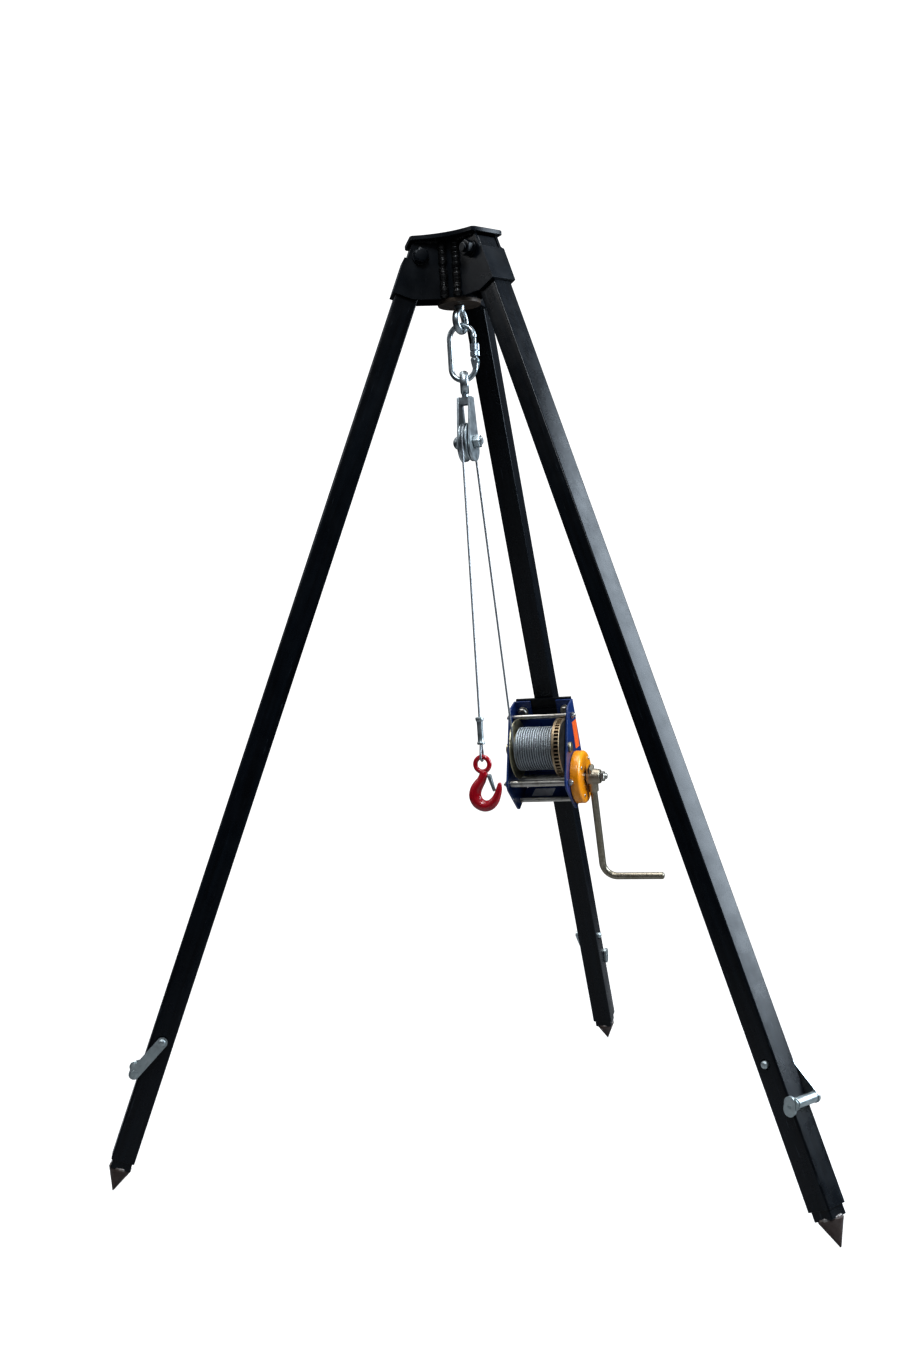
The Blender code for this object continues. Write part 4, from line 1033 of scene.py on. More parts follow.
def build_block():
    """The eye and the two cheeks with the crosshead that holds them together."""
    ring = upright_ring(BLOCK_EYE_Z, BLOCK_EYE_R, BLOCK_EYE_TURN, 56)
    bar = swept(ring, BLOCK_EYE_BAR, closed=True, flatten=(1.0, 1.4))
    shank = turned([(CHEEK_TOP - 0.0125, 0.0052), (CHEEK_TOP - 0.0120, 0.006),
                    (CHEEK_TOP + 0.006, 0.006)], "Z")
    add_piece("block_ring", bar, "forged_zinc", TRIPOD, "hoist_line", "block_eye", joins=(shank,))
    top_corners = [((side, CHEEK_TOP - 0.003), 0.003) for side in (0.008, -0.008)]
    outline = hull(around(*top_corners, count=24) + circle((0, CHEEK_ROUND_Z), CHEEK_ROUND_R, 72))
    axle_hole = circle((0, SHEAVE_Z), SHEAVE_BORE)
    outside = CHEEK_INSIDE + CHEEK_THICK
    cheek = plate(outline, CHEEK_INSIDE, outside, "X", [axle_hole])
    other = plate(outline, -outside, -CHEEK_INSIDE, "X", [axle_hole])
    reach = CHEEK_INSIDE + 0.001
    head_outline = [(-reach, -0.009), (reach, -0.009), (reach, 0.009), (-reach, 0.009)]
    crosshead = plate(head_outline, CHEEK_TOP - 0.0135, CHEEK_TOP - 0.001, "Z", [circle((0, 0), 0.0064)])
    add_piece("block_cheeks", cheek, "forged_zinc", TRIPOD, "hoist_line", "block_frame", edge=0.0009,
              joins=(crosshead, other))


def build_sheave():
    """The grooved wheel with the bolt and nut that it turns on."""
    axle = TRIPOD @ Matrix.Translation((0, 0, SHEAVE_Z))
    root = ROPE_ON_SHEAVE - ROPE_R - 0.0006
    flank = [(0.0016, root + 0.0003), (0.0026, root + 0.0012), (0.0044, SHEAVE_R - 0.0008),
             (0.0052, SHEAVE_R), (0.0065, SHEAVE_R), (0.007, SHEAVE_R - 0.0005)]
    groove = [*mirrored(flank)[:len(flank)], (0.0, root), *flank]
    web = mirrored([(0.007, SHEAVE_BORE), (0.007, 0.012), (0.0058, 0.013), (0.0058, 0.027),
                    (0.007, 0.028)])
    wheel = turned([*groove, *web[::-1]], "X", sides=FINE_SIDES, hollow=True)
    add_piece("sheave_wheel", wheel, "zinc_plate", axle, "sheave", "block_sheave")
    shaft = SHEAVE_BORE - 0.0005
    face = CHEEK_INSIDE + CHEEK_THICK + GAP
    bolt = turned([*dome(-face - 0.0040, -0.0105, 0.0122, range(80, -1, -10)), (-face - 0.0005, 0.0124),
                   (-face, 0.0120), (-face, shaft), (face + 0.0130, shaft),
                   (face + 0.0145, shaft - 0.001)], "X", sides=64)
    add_piece("block_axle", bolt, "forged_zinc", axle, "hoist_line", "block_bolt")
    nut = turned([(face, 0.0112, "hex"), (face + 0.0008, 0.0122, "hex"), (face + 0.0100, 0.0122, "hex"),
                  (face + 0.011, 0.0106, "hex"), (face + 0.011, shaft + GAP), (face, shaft + GAP)],
                 "X", sides=72, hollow=True)
    add_piece("block_lock_nut", nut, "zinc_plate", axle, "hoist_line", "block_nut")


def lobed_rope(name, path, spacing, start_twist=0.0, lobe_points=3, wound_on=None):
    """A rope of six strands: a lobed tube that twists along its path, with painted shade in its grooves.

    One wound on a drum, whose axis is at wound_on in Y and Z, is also marked where other turns shade it.
    Returns the rope, its path, its length and its twist at the end.
    """
    points = [Vector(p) for p in path]
    length = sum((b - a).length for a, b in zip(points, points[1:]))
    count = max(4, int(length / spacing))
    centres = resample(points, count)
    sides = 6 * lobe_points
    bm = bmesh.new()
    groove = bm.verts.layers.float.new("groove")
    uv = bm.loops.layers.uv.new("rope")
    rings = []
    for i, (point, across, other) in enumerate(frames_along(centres)):
        twist = start_twist + 2 * math.pi * (length * i / count) / ROPE_LAY
        ring = []
        for k in range(sides):
            share = k / lobe_points % 1
            rise = math.sin(math.pi * share)
            radius = ROPE_R * (0.80 + 0.20 * rise)
            angle = 2 * math.pi * k / sides + twist
            outward = across * math.cos(angle) + other * math.sin(angle)
            vert = bm.verts.new(point + outward * radius)
            # Painted shade, darkest in the grooves between the strands
            vert[groove] = (1.0 - rise) ** 2
            if wound_on:
                # On the drum the strands' painted shade is weaker, and each turn gets painted shade where
                # the turns beside it and the drum shade it
                vert[groove] *= WOUND_STRANDS
                from_axis = Vector((0, point.y - wound_on[0], point.z - wound_on[1])).normalized()
                shaded = 1.25 - 1.5 * outward.dot(from_axis)
                vert[groove] = max(vert[groove], min(1.0, max(0.0, shaded)))
            ring.append(vert)
        rings.append(ring)
    for i, (first, second) in enumerate(zip(rings, rings[1:])):
        for k in range(sides):
            m = (k + 1) % sides
            face = bm.faces.new((first[k], first[m], second[m], second[k]))
            corners = ((i, k), (i, k + 1), (i + 1, k + 1), (i + 1, k))
            for loop, (ring_index, side_index) in zip(face.loops, corners):
                loop[uv].uv = (side_index * 6 / lobe_points, length * ring_index / count * 400)
    bm.faces.new(rings[0])
    bm.faces.new(rings[-1])
    end_twist = start_twist + 2 * math.pi * length / ROPE_LAY
    obj = make_object(name, bm, "wire_rope", ORIGIN)
    return obj, [tuple(p) for p in centres], length, end_twist


def crossed_tangent(centre_a, radius_a, centre_b, radius_b):
    """Where a rope leaves the far side of wheel a and meets the near side of wheel b, as (y, z)."""
    a, b = Vector(centre_a), Vector(centre_b)
    between = b - a
    turn = math.acos((radius_a + radius_b) / between.length)
    outward = between.normalized().to_3d()
    outward.rotate(Matrix.Rotation(turn, 3, "Z"))
    outward = outward.to_2d()
    return a + outward * radius_a, b - outward * radius_b


def winding_path(centre, start_angle):
    """Two layers of turns on the drum: the outer one from left to right, then the inner one back."""
    points = []
    steps = 40
    pitch = (WINDING_RIGHT - WINDING_LEFT) / WINDING_TURNS
    for layer in range(2):
        for i in range(WINDING_TURNS * steps + 1):
            turns = i / steps
            angle = start_angle + 2 * math.pi * (layer * WINDING_TURNS + turns)
            along = WINDING_LEFT + pitch * turns if layer == 0 else WINDING_RIGHT - pitch * turns
            if layer == 0:
                raised = max(0.0, 1.0 - abs(turns - 3.6) / 2.6)
                uneven = noise.noise(Vector((turns * 0.55, 3.1, 0.0)))
                radius = OUTER_WINDING_R + 0.0009 * raised + 0.00035 * uneven
                along += 0.0007 * uneven + 0.0005 * raised * math.sin(angle)
            else:
                radius = INNER_WINDING_R
            settle_in = min(1.0, i / 6) if layer == 0 else 1.0
            radius = OUTER_WINDING_R + (radius - OUTER_WINDING_R) * settle_in
            across, up = radius * math.cos(angle), radius * math.sin(angle)
            points.append((along, centre.x + across, centre.y + up))
    return points


def build_ropes():
    """The rope from the hook's sleeve up over the sheave and down to its turns on the drum."""
    drum = DRUM_FRAME.translation
    sheave = (TRIPOD_Y, SHEAVE_Z)
    leave, meet = crossed_tangent(sheave, ROPE_ON_SHEAVE, (drum.y, drum.z), OUTER_WINDING_R)
    leave_angle = math.degrees(math.atan2(leave.y - SHEAVE_Z, leave.x - TRIPOD_Y))

    fall_top = (0, TRIPOD_Y - ROPE_ON_SHEAVE, SHEAVE_Z)
    fall_end = (0, TRIPOD_Y - ROPE_ON_SHEAVE, FERRULE_TOP - 0.006)
    fall, path, length, twist = lobed_rope("rope_fall_line", [fall_end, fall_top], 0.0016, lobe_points=4)
    settle(fall, "wire_rope", "hoist_line", "rope_fall")
    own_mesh(fall)

    bend = [(0, y, z) for y, z in arc(sheave, ROPE_ON_SHEAVE, 180, leave_angle, 48)]
    over, path, length, twist = lobed_rope("rope_over_sheave", bend, 0.0012, twist, 4)
    settle(over, "wire_rope", "hoist_line", "rope_on_sheave")

    start = Vector((0, leave.x, leave.y))
    end = Vector((ROPE_START_SIDE, meet.x, meet.y))
    middle = start.lerp(end, 0.5)
    upper, path, length, twist = lobed_rope("rope_run_upper", [start, middle], 0.0016, twist, 4)
    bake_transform(upper)
    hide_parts("rope_run")
    lower, path, length, twist = lobed_rope("rope_run_lower", [middle, end], 0.0016, twist, 4)
    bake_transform(lower)

    centre = Vector((drum.y, drum.z))
    start_angle = math.atan2(meet.y - drum.z, meet.x - drum.y)
    wound_path = winding_path(centre, start_angle)
    wound, path, length, _ = lobed_rope("rope_wound", wound_path, 0.0030, twist, 3, tuple(centre))
    settle(wound, "wire_rope", "drum", "rope_winding")


def build_ferrule():
    """The sleeve that is pressed onto the rope above the hook."""
    low, high = FERRULE_END, FERRULE_TOP
    sections = [(low, 0.0056), (low + 0.0006, 0.0066), (low + 0.0026, 0.0070), (low + 0.0042, 0.0064),
                (low + 0.0060, 0.0055), (low + 0.012, 0.0053), (high - 0.014, 0.0053),
                (high - 0.0075, 0.0056), (high - 0.0055, 0.0071), (high - 0.0015, 0.0074),
                (high - 0.0004, 0.0070), (high, 0.0060)]
    add_piece("rope_sleeve", turned(sections, "Z"), "lock_zinc", FALL, "hook_line", "rope_ferrule")


def build_eye_loop():
    """The loop of rope between its sleeve and the hook's eye."""
    bar_z = HOOK_EYE_Z + HOOK_EYE_R
    reach = HOOK_EYE_BAR + ROPE_R + LINK_GAP
    y = TRIPOD_Y - ROPE_ON_SHEAVE
    side = [(-0.0026, FERRULE_END + 0.004), (-0.0028, FERRULE_END), (-0.0040, FERRULE_END - 0.006),
            (-0.0062, bar_z + 0.006)]
    loop = side + arc((0, bar_z), reach, 180, 360, 24) + [(-a, b) for a, b in side[::-1]]
    path = [(0, y + a, b) for a, b in smooth_curve(loop, 4)]
    rope, path, length, _ = lobed_rope("rope_hook_loop", path, 0.0010, 0.0, 4)
    settle(rope, "wire_rope", "hook_line", "rope_eye_loop")


def build_hook():
    """The hook with its eye, melted into one forging."""
    ring = [(a, 0, b) for a, b in arc((0, HOOK_EYE_Z), HOOK_EYE_R, 0, 360, 48)[:-1]]
    bowl = [(0.0020, 0.6635, 0.0064), (0.0003, 0.6560, 0.0072), (-0.0035, 0.6475, 0.0082),
            (-0.0100, 0.6390, 0.0096), (-0.0152, 0.6300, 0.0104), (-0.0168, 0.6190, 0.0108),
            (-0.0118, 0.6085, 0.0108), (-0.0010, 0.6024, 0.0101), (0.0100, 0.6040, 0.0092),
            (0.0190, 0.6115, 0.0079), (0.0250, 0.6225, 0.0063), (0.0280, 0.6320, 0.0053),
            (0.0296, 0.6405, 0.0036)]
    curve = smooth_curve(bowl, 6)
    shape = swept([(x, 0, z) for x, z, r in curve], [r for x, z, r in curve], 32)
    tip = turned([(0.6380, 0.0020), (0.6400, 0.0036), (0.6418, 0.0030), (0.6428, 0.0014)], "Z",
                 (0.0297, 0, 0), 16)
    boss = plate(around(((0.0040, 0.6560), 0.0045), ((0.0094, 0.6551), 0.0022)), -0.0027, 0.0027, "Y")
    hook = make_object("hook_forging", swept(ring, HOOK_EYE_BAR, closed=True), "red_paint", FALL)
    for joined in (shape, tip, boss):
        combine(hook, "UNION", joined)
    blend_shapes(hook, 0.0007, 6)
    settle(hook, "red_paint", "hook", "hook_body")


def build_latch():
    """The folded latch that closes the hook's mouth, and its rivet."""
    hinge = FALL @ Matrix.Translation((LATCH_PIVOT[0], 0, LATCH_PIVOT[1]))
    side_outline = hull(circle((0, 0), 0.0030, 24) + circle((0.0074, -0.0255), 0.0016, 16))
    latch = plate(side_outline, -0.0042, 0.0042, "Y")
    hollow = plate(hull(circle((-0.0022, -0.0005), 0.0027, 24) + circle((0.0052, -0.0245), 0.0012, 16)),
                   -0.0032, 0.0032, "Y")
    add_piece("latch_plate", latch, "lock_zinc", hinge, "latch", "hook_latch", edge=0.0004,
              cuts=(hollow,))
    rivet = turned(mirrored([(0.0048, 0.0020), (0.0058, 0.0020), (0.0062, 0.0014)]), "Y", sides=24)
    add_piece("latch_rivet", rivet, "lock_zinc", hinge, "hook")


# Winch -----------------------------------------------------------------------------------------


def build_winch_base():
    """The mount plate, the base with its bent foot, the foot's label and the bolts through them."""
    frame = leg_frame("rear")
    sides = (-MOUNT_BOLT_SIDE, MOUNT_BOLT_SIDE)
    bolts = [circle((side, -MOUNT_BOLT_DOWN), MOUNT_HOLE_R) for side in sides]
    low = -WINCH_LOW
    mount_outline = [(-WINCH_INSIDE, low), (WINCH_INSIDE, low), (WINCH_INSIDE, -MOUNT_TOP),
                     (-WINCH_INSIDE, -MOUNT_TOP)]
    leg_face = -TUBE / 2 - GAP
    mount = plate(mount_outline, WINCH_BASE_OUT + 0.0004, leg_face, "Y", bolts)
    add_piece("mount_plate", mount, "black_paint", frame, "rear_leg", "winch_mount_plate", edge=0.0008)
    edge = WINCH_INSIDE - GAP
    face = WINCH_BASE_OUT - WINCH_PLATE
    bent = [(WINCH_BASE_OUT, low), (WINCH_BASE_OUT, -WINCH_TOP), (face, -WINCH_TOP),
            (face, low + WINCH_PLATE), (PAN_END, low + WINCH_PLATE), (PAN_END, low)]
    notch = box((-0.026, -0.05, -0.885), (0.026, 0.0, -0.80))
    bolt_holes = [turned([(-0.05, MOUNT_HOLE_R), (0.0, MOUNT_HOLE_R)], "Y", (side, 0, -MOUNT_BOLT_DOWN))
                  for side in sides]
    add_piece("winch_back", plate(bent, -edge, edge, "X"), "blue_paint", frame, "rear_leg", "winch_base",
              edge=0.0007, cuts=(notch, *bolt_holes))
    corners = [(x, y) for x in (-0.037, 0.003) for y in (-0.090, -0.062)]
    label_outline = around(*[(corner, 0.0015) for corner in corners], count=16)
    pan = low + WINCH_PLATE
    label = plate(label_outline, pan + LABEL_LOW, pan + LABEL_HIGH, "Z")
    add_piece("pan_label", label, "grey_label", frame, "rear_leg")

    head = WINCH_BASE_OUT - WINCH_PLATE - GAP
    for name, side in zip(("left", "right"), sides):
        bolt = turned([(head - 0.0085, 0.0076), (head - 0.0078, 0.0090, "hex"),
                       (head - 0.0070, 0.0096, "hex"), (head - 0.002, 0.0096, "hex"),
                       (head - 0.002, 0.0103), (head - 0.0016, 0.0105), (head, 0.0105), (head, 0.0048),
                       (leg_face + GAP, 0.0048), (leg_face + GAP, 0.0096, "hex"),
                       (leg_face + 0.0075, 0.0096, "hex"), (leg_face + 0.0083, 0.0086, "hex")],
                      "Y", (side, 0, -MOUNT_BOLT_DOWN), 72)
        add_piece(f"winch_bolt_{name}", bolt, "rod_steel", frame, "rear_leg", f"mount_bolt_{name}")


def build_winch_cheeks():
    """The two side plates and the label on the right one."""
    frame = leg_frame("rear")
    corners = [(WINCH_BASE_OUT, -WINCH_TOP), (WINCH_BASE_OUT, -1.022)]
    rounds = [(TIE_RODS["top"], 0.022), (TIE_RODS["front"], 0.018), ((-0.118, 1.027), 0.012)]
    for place, radius in rounds:
        corners += circle((place[0], -place[1]), radius, 64)
    outline = hull(corners)
    holes = [circle((out, -down), TIE_NECK_R + 0.0005, 32) for out, down, _ in TIE_RODS.values()]
    holes += [circle((DRUM_OUT, -DRUM_DOWN), DRUM_AXLE_R + PLAY),
              circle((CRANK_OUT, -CRANK_DOWN), SHAFT_R + PLAY)]
    for name, low, high in (("left", -WINCH_OUTSIDE, -WINCH_INSIDE),
                            ("right", WINCH_INSIDE, WINCH_OUTSIDE)):
        cheek = plate(outline, low, high, "X", holes)
        add_piece(f"winch_cheek_{name}", cheek, "blue_paint", frame, "rear_leg", f"winch_side_{name}",
                  edge=0.0007)
    corners = [(-0.0575, -0.8833), (-0.0295, -0.8890), (-0.0375, -0.9430), (-0.0612, -0.9368)]
    label_outline = around(*[(corner, 0.0012) for corner in corners], count=16)
    side_label = plate(label_outline, WINCH_OUTSIDE + LABEL_LOW, WINCH_OUTSIDE + LABEL_HIGH, "X")
    add_piece("side_label", side_label, "orange_label", frame, "rear_leg")


def build_tie_rods():
    """The rods that hold the side plates apart, with a nut outside each."""
    frame = leg_frame("rear")
    edge = WINCH_INSIDE - GAP
    end, nut = WINCH_OUTSIDE + GAP, WINCH_OUTSIDE + 0.0065
    for name, (out, down, rod) in TIE_RODS.items():
        shoulder = [(edge - 0.0006, rod), (edge, rod - 0.0006), (edge, TIE_NECK_R)]
        threaded = [*shoulder, (end, TIE_NECK_R), (end, TIE_NUT_R - 0.0006, "hex"),
                    (end + 0.0006, TIE_NUT_R, "hex"), (nut - 0.0007, TIE_NUT_R, "hex"),
                    (nut, TIE_NUT_R - 0.0008, "hex"), (nut, TIE_NECK_R), (nut + 0.0022, TIE_NECK_R),
                    (nut + 0.003, TIE_NECK_R - 0.0008)]
        sections = mirrored(threaded)
        if name == "bottom":
            # The brake cover leaves no room for a nut on the right
            sections = [*sections[:len(threaded)], *shoulder, (WINCH_OUTSIDE, TIE_NECK_R)]
        rod_body = turned(sections, "X", (0, out, -down), 72)
        add_piece(f"spacer_rod_{name}", rod_body, "rod_steel", frame, "rear_leg", f"tie_rod_{name}")


def build_drum():
    """The drum with its flange, gear and axle."""
    bore = DRUM_AXLE_R + PLAY
    left, right = DRUM_LEFT, GEAR_LEFT - GAP
    rolled = [(left - 0.003, FLANGE_R - 0.0010), (left - 0.0022, FLANGE_R), (left - 0.0006, FLANGE_R),
              (left, FLANGE_R - 0.0008)]
    drum = turned([*rolled, (left, HUB_R), (right, HUB_R), (right, bore), (left - 0.003, bore),
                   (left - 0.003, 0.022), (left - 0.0012, 0.024), (left - 0.0012, 0.048),
                   (left - 0.003, 0.050)], "X", sides=FINE_SIDES, hollow=True)
    add_piece("drum_core", drum, "yellow_zinc", DRUM_FRAME, "drum", "winch_drum")
    # Painted shade: a dark disc fills the roots between the gear's teeth and covers the gear's right face,
    # where shade falls
    low, high = GEAR_LEFT + 0.001, GEAR_RIGHT + GAP
    web = turned([(low, ROOT_SHADOW_R), (high, ROOT_SHADOW_R), (high, bore + 0.002), (low, bore + 0.002)],
                 "X", sides=FINE_SIDES, hollow=True)
    add_piece("gear_painted_shade", web, "grime", DRUM_FRAME, "drum")
    teeth = gear_outline(GEAR_TEETH, GEAR_MODULE, 0.52, 0.32)
    gear = plate(teeth, GEAR_LEFT + 0.0008, GEAR_RIGHT - 0.0008, "X", [circle((0, 0), bore)])
    add_piece("gear_ring", gear, "gear_zinc", DRUM_FRAME, "drum", "drum_gear")
    for name, low, high in (("left", GEAR_LEFT, GEAR_LEFT + RIM_LEFT),
                            ("right", GEAR_RIGHT - RIM_RIGHT, GEAR_RIGHT)):
        rim = turned([(low, FLANGE_R - 0.0012), (low + 0.0004, FLANGE_R - 0.0006),
                      (high - 0.0004, FLANGE_R - 0.0006), (high, FLANGE_R - 0.0012), (high, 0.046),
                      (low, 0.046)], "X", sides=FINE_SIDES, hollow=True)
        add_piece(f"gear_rim_{name}", rim, "gear_zinc", DRUM_FRAME, "drum")
    end = WINCH_OUTSIDE + GAP
    axle = turned([(-end - 0.005, 0.0096), (-end - 0.0044, 0.011), (-end, 0.011), (-end, DRUM_AXLE_R),
                   (end, DRUM_AXLE_R), (end, 0.0105), (end + 0.0035, 0.0105), (end + 0.0042, 0.0095)],
                  "X")
    add_piece("drum_shaft", axle, "yellow_zinc", DRUM_FRAME, "rear_leg", "drum_axle")


def build_crank_shaft():
    """The crank's shaft and the pinion on it that turns the drum's gear."""
    end = WINCH_OUTSIDE + GAP
    stub = HUB_RIGHT + GAP
    thread = []
    for i in range(8):
        start = stub + 0.0002 + i * 0.0013
        thread += [(start, 0.0060), (start + 0.0006, 0.0054), (start + 0.0009, 0.0054)]
    shaft = turned([(-end - 0.005, 0.0088), (-end - 0.0044, 0.010), (-end, 0.010), (-end, SHAFT_R),
                    (stub, SHAFT_R), *thread, (stub + 0.0115, 0.0060), (stub + 0.0125, 0.005)], "X")
    add_piece("crank_shaft", shaft, "rod_steel", CRANK_FRAME, "crank", "pinion_shaft")

    bore = SHAFT_R + PLAY
    toward_drum = math.atan2(CRANK_DOWN - DRUM_DOWN, DRUM_OUT - CRANK_OUT)
    pitch = 2 * math.pi / PINION_TEETH
    gear_pitch = 2 * math.pi / GEAR_TEETH
    drum_phase = (toward_drum - math.pi) / gear_pitch % 1
    teeth = gear_outline(PINION_TEETH, GEAR_MODULE, 0.50, 0.22, toward_drum + (0.5 + drum_phase) * pitch)
    pinion = plate(teeth, GEAR_LEFT + RIM_LEFT + GAP, GEAR_RIGHT - RIM_RIGHT - GAP, "X",
                   [circle((0, 0), bore)])
    add_piece("pinion_gear", pinion, "gear_zinc", CRANK_FRAME, "crank", "pinion", edge=0.0002)


def build_brake_cover():
    """The cover of the brake and its four screws."""
    end = WINCH_OUTSIDE + GAP
    near, far = end + GAP, end + COVER_DEPTH
    inner = COVER_R - COVER_WALL
    cover = turned([(near, COVER_R - 0.0005), (near + 0.0005, COVER_R), (far - 0.0050, COVER_R),
                    (far - 0.0042, COVER_R - 0.0003), (far - 0.0020, COVER_R - 0.0020),
                    (far - 0.0008, COVER_R - 0.0048), (far - 0.0002, COVER_R - 0.0070),
                    (far, COVER_R - 0.0090), (far, 0.030), (far - 0.0008, 0.028), (far - 0.0008, 0.0140),
                    (far - 0.0010, 0.0135), (far - COVER_WALL, 0.0135), (far - COVER_WALL, inner - 0.006),
                    (far - 0.005, inner - 0.0015), (far - 0.0075, inner), (near, inner)], "X",
                   sides=FINE_SIDES, hollow=True)
    add_piece("drum_brake_cover", cover, "yellow_paint", CRANK_FRAME, "rear_leg", "brake_cover")
    for i in range(4):
        angle = math.radians(38 + 90 * i)
        place = (0, 0.0405 * math.cos(angle), 0.0405 * math.sin(angle))
        screw = turned([(far - 0.0008, 0.0034), (far + 0.0010, 0.0034), (far + 0.0016, 0.0028),
                        (far + 0.0016, 0.0016, "hex"), (far + 0.0004, 0.0014, "hex")], "X", place, 36)
        add_piece(f"cover_screw_{i + 1}", screw, "rod_steel", CRANK_FRAME, "rear_leg")


def build_crank():
    """The cast hub, its nut and the bent rod of the crank."""
    arm = CRANK_FRAME @ Matrix.Translation((CRANK_SIDE, 0, 0)) @ Matrix.Rotation(-CRANK_LEAN, 4, "X")
    hub = turned([(HUB_LEFT, 0.0150), (HUB_LEFT + 0.0012, 0.0165), (HUB_LEFT + 0.011, 0.0165),
                  (HUB_LEFT + 0.013, 0.0158), (HUB_RIGHT - 0.001, 0.0140), (HUB_RIGHT, 0.0130),
                  (HUB_RIGHT, SHAFT_R + PLAY), (HUB_LEFT, SHAFT_R + PLAY)], "X", hollow=True)
    boss = turned([(-0.031, 0.0088), (-0.0302, 0.0096), (-0.0292, 0.0100), (-0.018, 0.0106),
                   (-0.010, 0.0118)], "Z")
    boss.transform(CRANK_FRAME.inverted() @ arm)
    ear = turned(mirrored([(0.0118, 0.0058), (0.0125, 0.0050)]), "Y", (0, 0, 0.0165), 32)
    ear.transform(Matrix.Translation((HUB_LEFT + 0.0075, 0, 0)))
    slot = box((HUB_LEFT + 0.0060, -0.02, 0.0100), (HUB_LEFT + 0.0085, 0.02, 0.03))
    socket = make_object("crank_socket", hub, "cast_zinc", CRANK_FRAME)
    combine(socket, "UNION", boss)
    combine(socket, "UNION", ear)
    combine(socket, "DIFFERENCE", slot)
    round_edges(socket, 0.0005)
    settle(socket, "cast_zinc", "crank", "crank_hub")
    nut = turned([(HUB_RIGHT + 0.0006, 0.0090, "hex"), (HUB_RIGHT + 0.0013, 0.0100, "hex"),
                  (HUB_RIGHT + 0.0077, 0.0100, "hex"), (HUB_RIGHT + 0.0085, 0.0088, "hex"),
                  (HUB_RIGHT + 0.0085, 0.0064), (HUB_RIGHT + 0.0006, 0.0064)], "X", sides=72, hollow=True)
    add_piece("crank_lock_nut", nut, "rod_steel", CRANK_FRAME, "crank", "crank_nut")

    corner = [(CRANK_BEND - x, -CRANK_ARM + CRANK_BEND - z)
              for x, z in arc((0, 0), CRANK_BEND, 0, 90, 24)]
    straight = [(0, -0.0315 - i * (CRANK_ARM - 0.0315 - CRANK_BEND) / 12) for i in range(12)]
    grip = [(CRANK_GRIP - 0.0045 + 0.0045 * math.sin(math.radians(a)), -CRANK_ARM)
            for a in range(0, 91, 15)]
    path = [*straight, *corner, *grip]
    radii = [CRANK_ROD_R] * (len(path) - len(grip))
    radii += [CRANK_ROD_R - 0.0045 * (1 - math.cos(math.radians(a))) for a in range(0, 91, 15)]
    add_piece("crank_bar", swept([(x, 0, z) for x, z in path], radii, 40), "rod_zinc", arm, "crank",
              "crank_rod")


# Stage -----------------------------------------------------------------------------------------


def build_floor():
    """A pale floor that fades out all round, so that no horizon shows."""
    finish = Finish("pale_floor")
    finish.set(Base_Color=(0.86, 0.86, 0.86, 1.0), Roughness=0.9, Specular_IOR_Level=0.1)
    sphere = finish.nodes.new("ShaderNodeTexGradient")
    sphere.gradient_type = "SPHERICAL"
    mapping = finish.nodes.new("ShaderNodeMapping")
    mapping.inputs["Scale"].default_value = (1 / FLOOR_FADE_END,) * 3
    finish.links.new(finish.coordinates, mapping.inputs["Vector"])
    finish.links.new(mapping.outputs["Vector"], sphere.inputs["Vector"])
    solid = 1.0 - FLOOR_FADE_START / FLOOR_FADE_END
    finish.link(finish.ramp(sphere.outputs["Fac"], [(0.0, 0.0), (solid, FLOOR_COVER)]), "Alpha")
    bm = bmesh.new()
    bmesh.ops.create_grid(bm, x_segments=1, y_segments=1, size=FLOOR_FADE_END)
    mesh = bpy.data.meshes.new("floor")
    bm.to_mesh(mesh)
    bm.free()
    mesh.materials.append(finish.material)
    floor = new_object("floor", mesh)


def add_softbox(name, place, target, size, power, tint=(1.0, 1.0, 1.0)):
    light = bpy.data.lights.new(name, "AREA")
    light.shape = "RECTANGLE"
    light.size, light.size_y = size
    light.energy = power
    light.color = tint
    obj = new_object(name, light)
    obj.location = place
    obj.rotation_euler = (Vector(target) - Vector(place)).to_track_quat("-Z", "Y").to_euler()


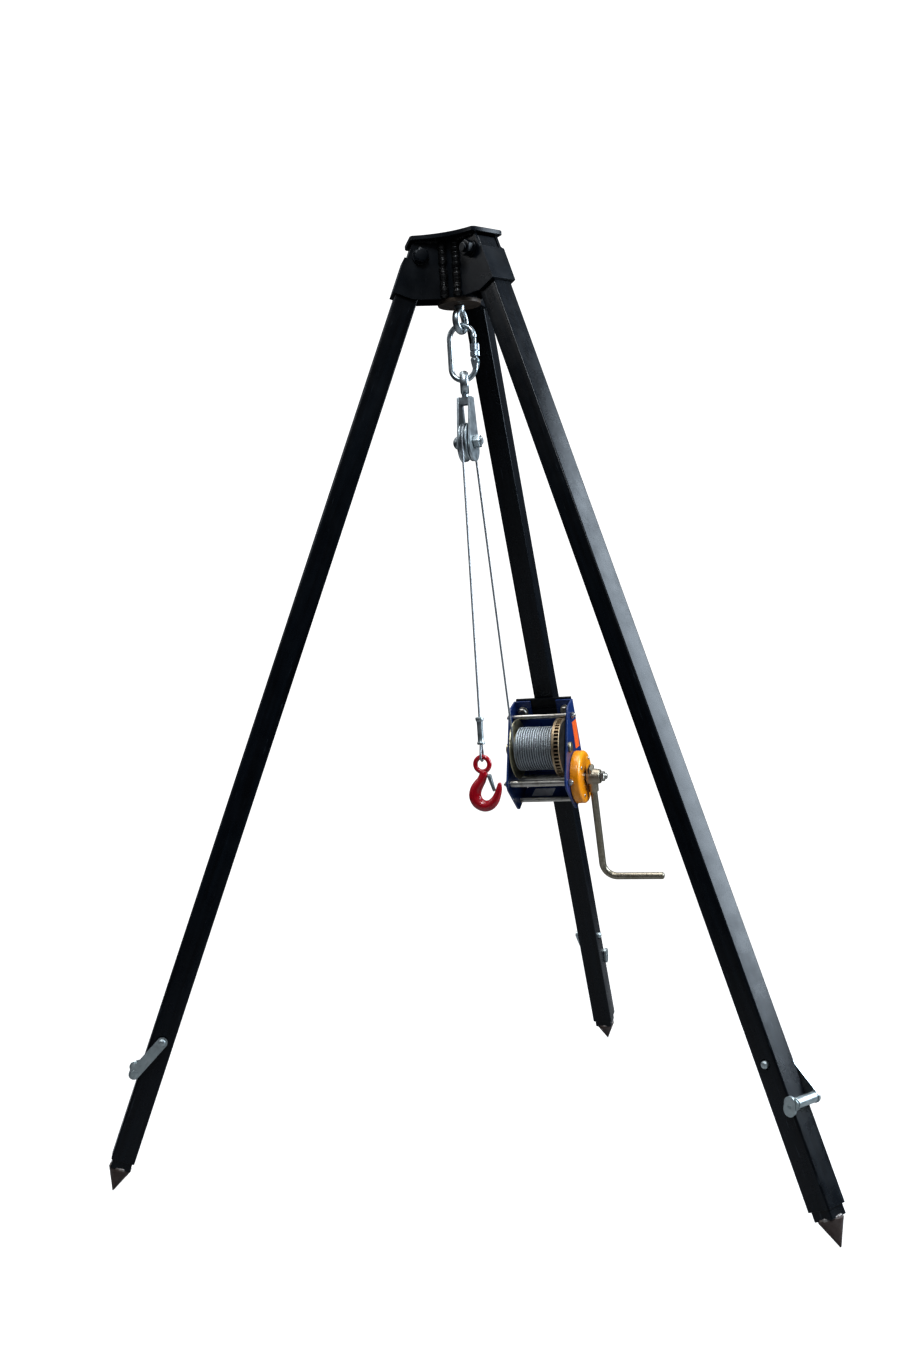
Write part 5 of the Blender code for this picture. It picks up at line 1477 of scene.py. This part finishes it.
def light_stage():
    """A white backdrop for the camera alone: the object itself stands in a dim room with softboxes."""
    world = bpy.data.worlds.new("studio")
    bpy.context.scene.world = world
    world.use_nodes = True
    nodes, links = world.node_tree.nodes, world.node_tree.links
    room = nodes["Background"]
    height = nodes.new("ShaderNodeSeparateXYZ")
    links.new(nodes.new("ShaderNodeTexCoord").outputs["Generated"], height.inputs["Vector"])
    ramp = nodes.new("ShaderNodeValToRGB")
    for element, (place, tone) in zip(ramp.color_ramp.elements, ((0.0, ROOM_LOW), (1.0, ROOM_HIGH))):
        element.position = place
        element.color = (*tone, 1.0)
    links.new(height.outputs["Z"], ramp.inputs["Fac"])
    links.new(ramp.outputs["Color"], room.inputs["Color"])
    backdrop = nodes.new("ShaderNodeBackground")
    backdrop.inputs["Color"].default_value = (1.0, 1.0, 1.0, 1.0)
    chosen = nodes.new("ShaderNodeMixShader")
    links.new(nodes.new("ShaderNodeLightPath").outputs["Is Camera Ray"], chosen.inputs["Fac"])
    links.new(room.outputs["Background"], chosen.inputs[1])
    links.new(backdrop.outputs["Background"], chosen.inputs[2])
    links.new(chosen.outputs["Shader"], nodes["World Output"].inputs["Surface"])
    add_softbox("overhead", (0.0, 0.0, 4.0), (0, 0, 0), (2.6, 2.6), 95)
    add_softbox("leg_light", (2.4, 0.50, 1.75), (0.35, -0.45, 0.85), (1.5, 1.9), 86, (0.78, 0.89, 1.0))
    add_softbox("key", (0.8, -2.8, 3.9), (0, 0, 0.9), (1.0, 1.0), 62, (0.90, 0.95, 1.0))
    add_softbox("fill", (-2.6, -1.2, 2.8), (0, -0.1, 0.8), (1.0, 1.0), 12)
    bpy.context.scene.view_settings.view_transform = "Standard"
    bpy.context.scene.view_settings.look = "Medium High Contrast"


def add_camera():
    camera = bpy.data.cameras.new("camera")
    camera.lens = CAMERA_LENS
    camera.sensor_width = 36.0
    camera.sensor_fit = "AUTO"
    obj = new_object("camera", camera)
    forward = Vector((math.sin(CAMERA_YAW) * math.cos(CAMERA_PITCH),
                      math.cos(CAMERA_YAW) * math.cos(CAMERA_PITCH),
                      math.sin(CAMERA_PITCH)))
    level_right = Vector((math.cos(CAMERA_YAW), -math.sin(CAMERA_YAW), 0))
    level_up = level_right.cross(forward)
    right = math.cos(CAMERA_ROLL) * level_right + math.sin(CAMERA_ROLL) * level_up
    up = -math.sin(CAMERA_ROLL) * level_right + math.cos(CAMERA_ROLL) * level_up
    rotation = Matrix((right, up, -forward)).transposed().to_4x4()
    obj.matrix_world = Matrix.Translation(TRIPOD.translation + CAMERA_PLACE) @ rotation
    bpy.context.scene.camera = obj


def clear_scene():
    for obj in list(bpy.data.objects):
        bpy.data.objects.remove(obj)


def build_object():
    build_top_plate()
    build_column()
    for seed, which in enumerate(LEG_AZIMUTHS):
        build_arm(which, 20 + 40 * seed)
        build_pivot_bolt(which)
        build_leg(which, 11 + seed)
        build_lock(which)
    build_lifting_eye()
    build_carabiner()
    build_gate()
    build_block()
    build_sheave()
    build_ferrule()
    build_ropes()
    build_eye_loop()
    build_hook()
    build_latch()
    build_winch_base()
    build_winch_cheeks()
    build_tie_rods()
    build_drum()
    build_crank_shaft()
    build_brake_cover()
    build_crank()
    for node in ("ratchet_wheel", "brake_disc", "pawl"):
        obj = FRAME["nodes"][node]
        obj.data.materials.clear()
        obj.data.materials.append(FINISHES["bare_steel"])


clear_scene()
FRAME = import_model()
FINISHES = make_finishes()
add_camera()
build_object()
build_floor()
light_stage()
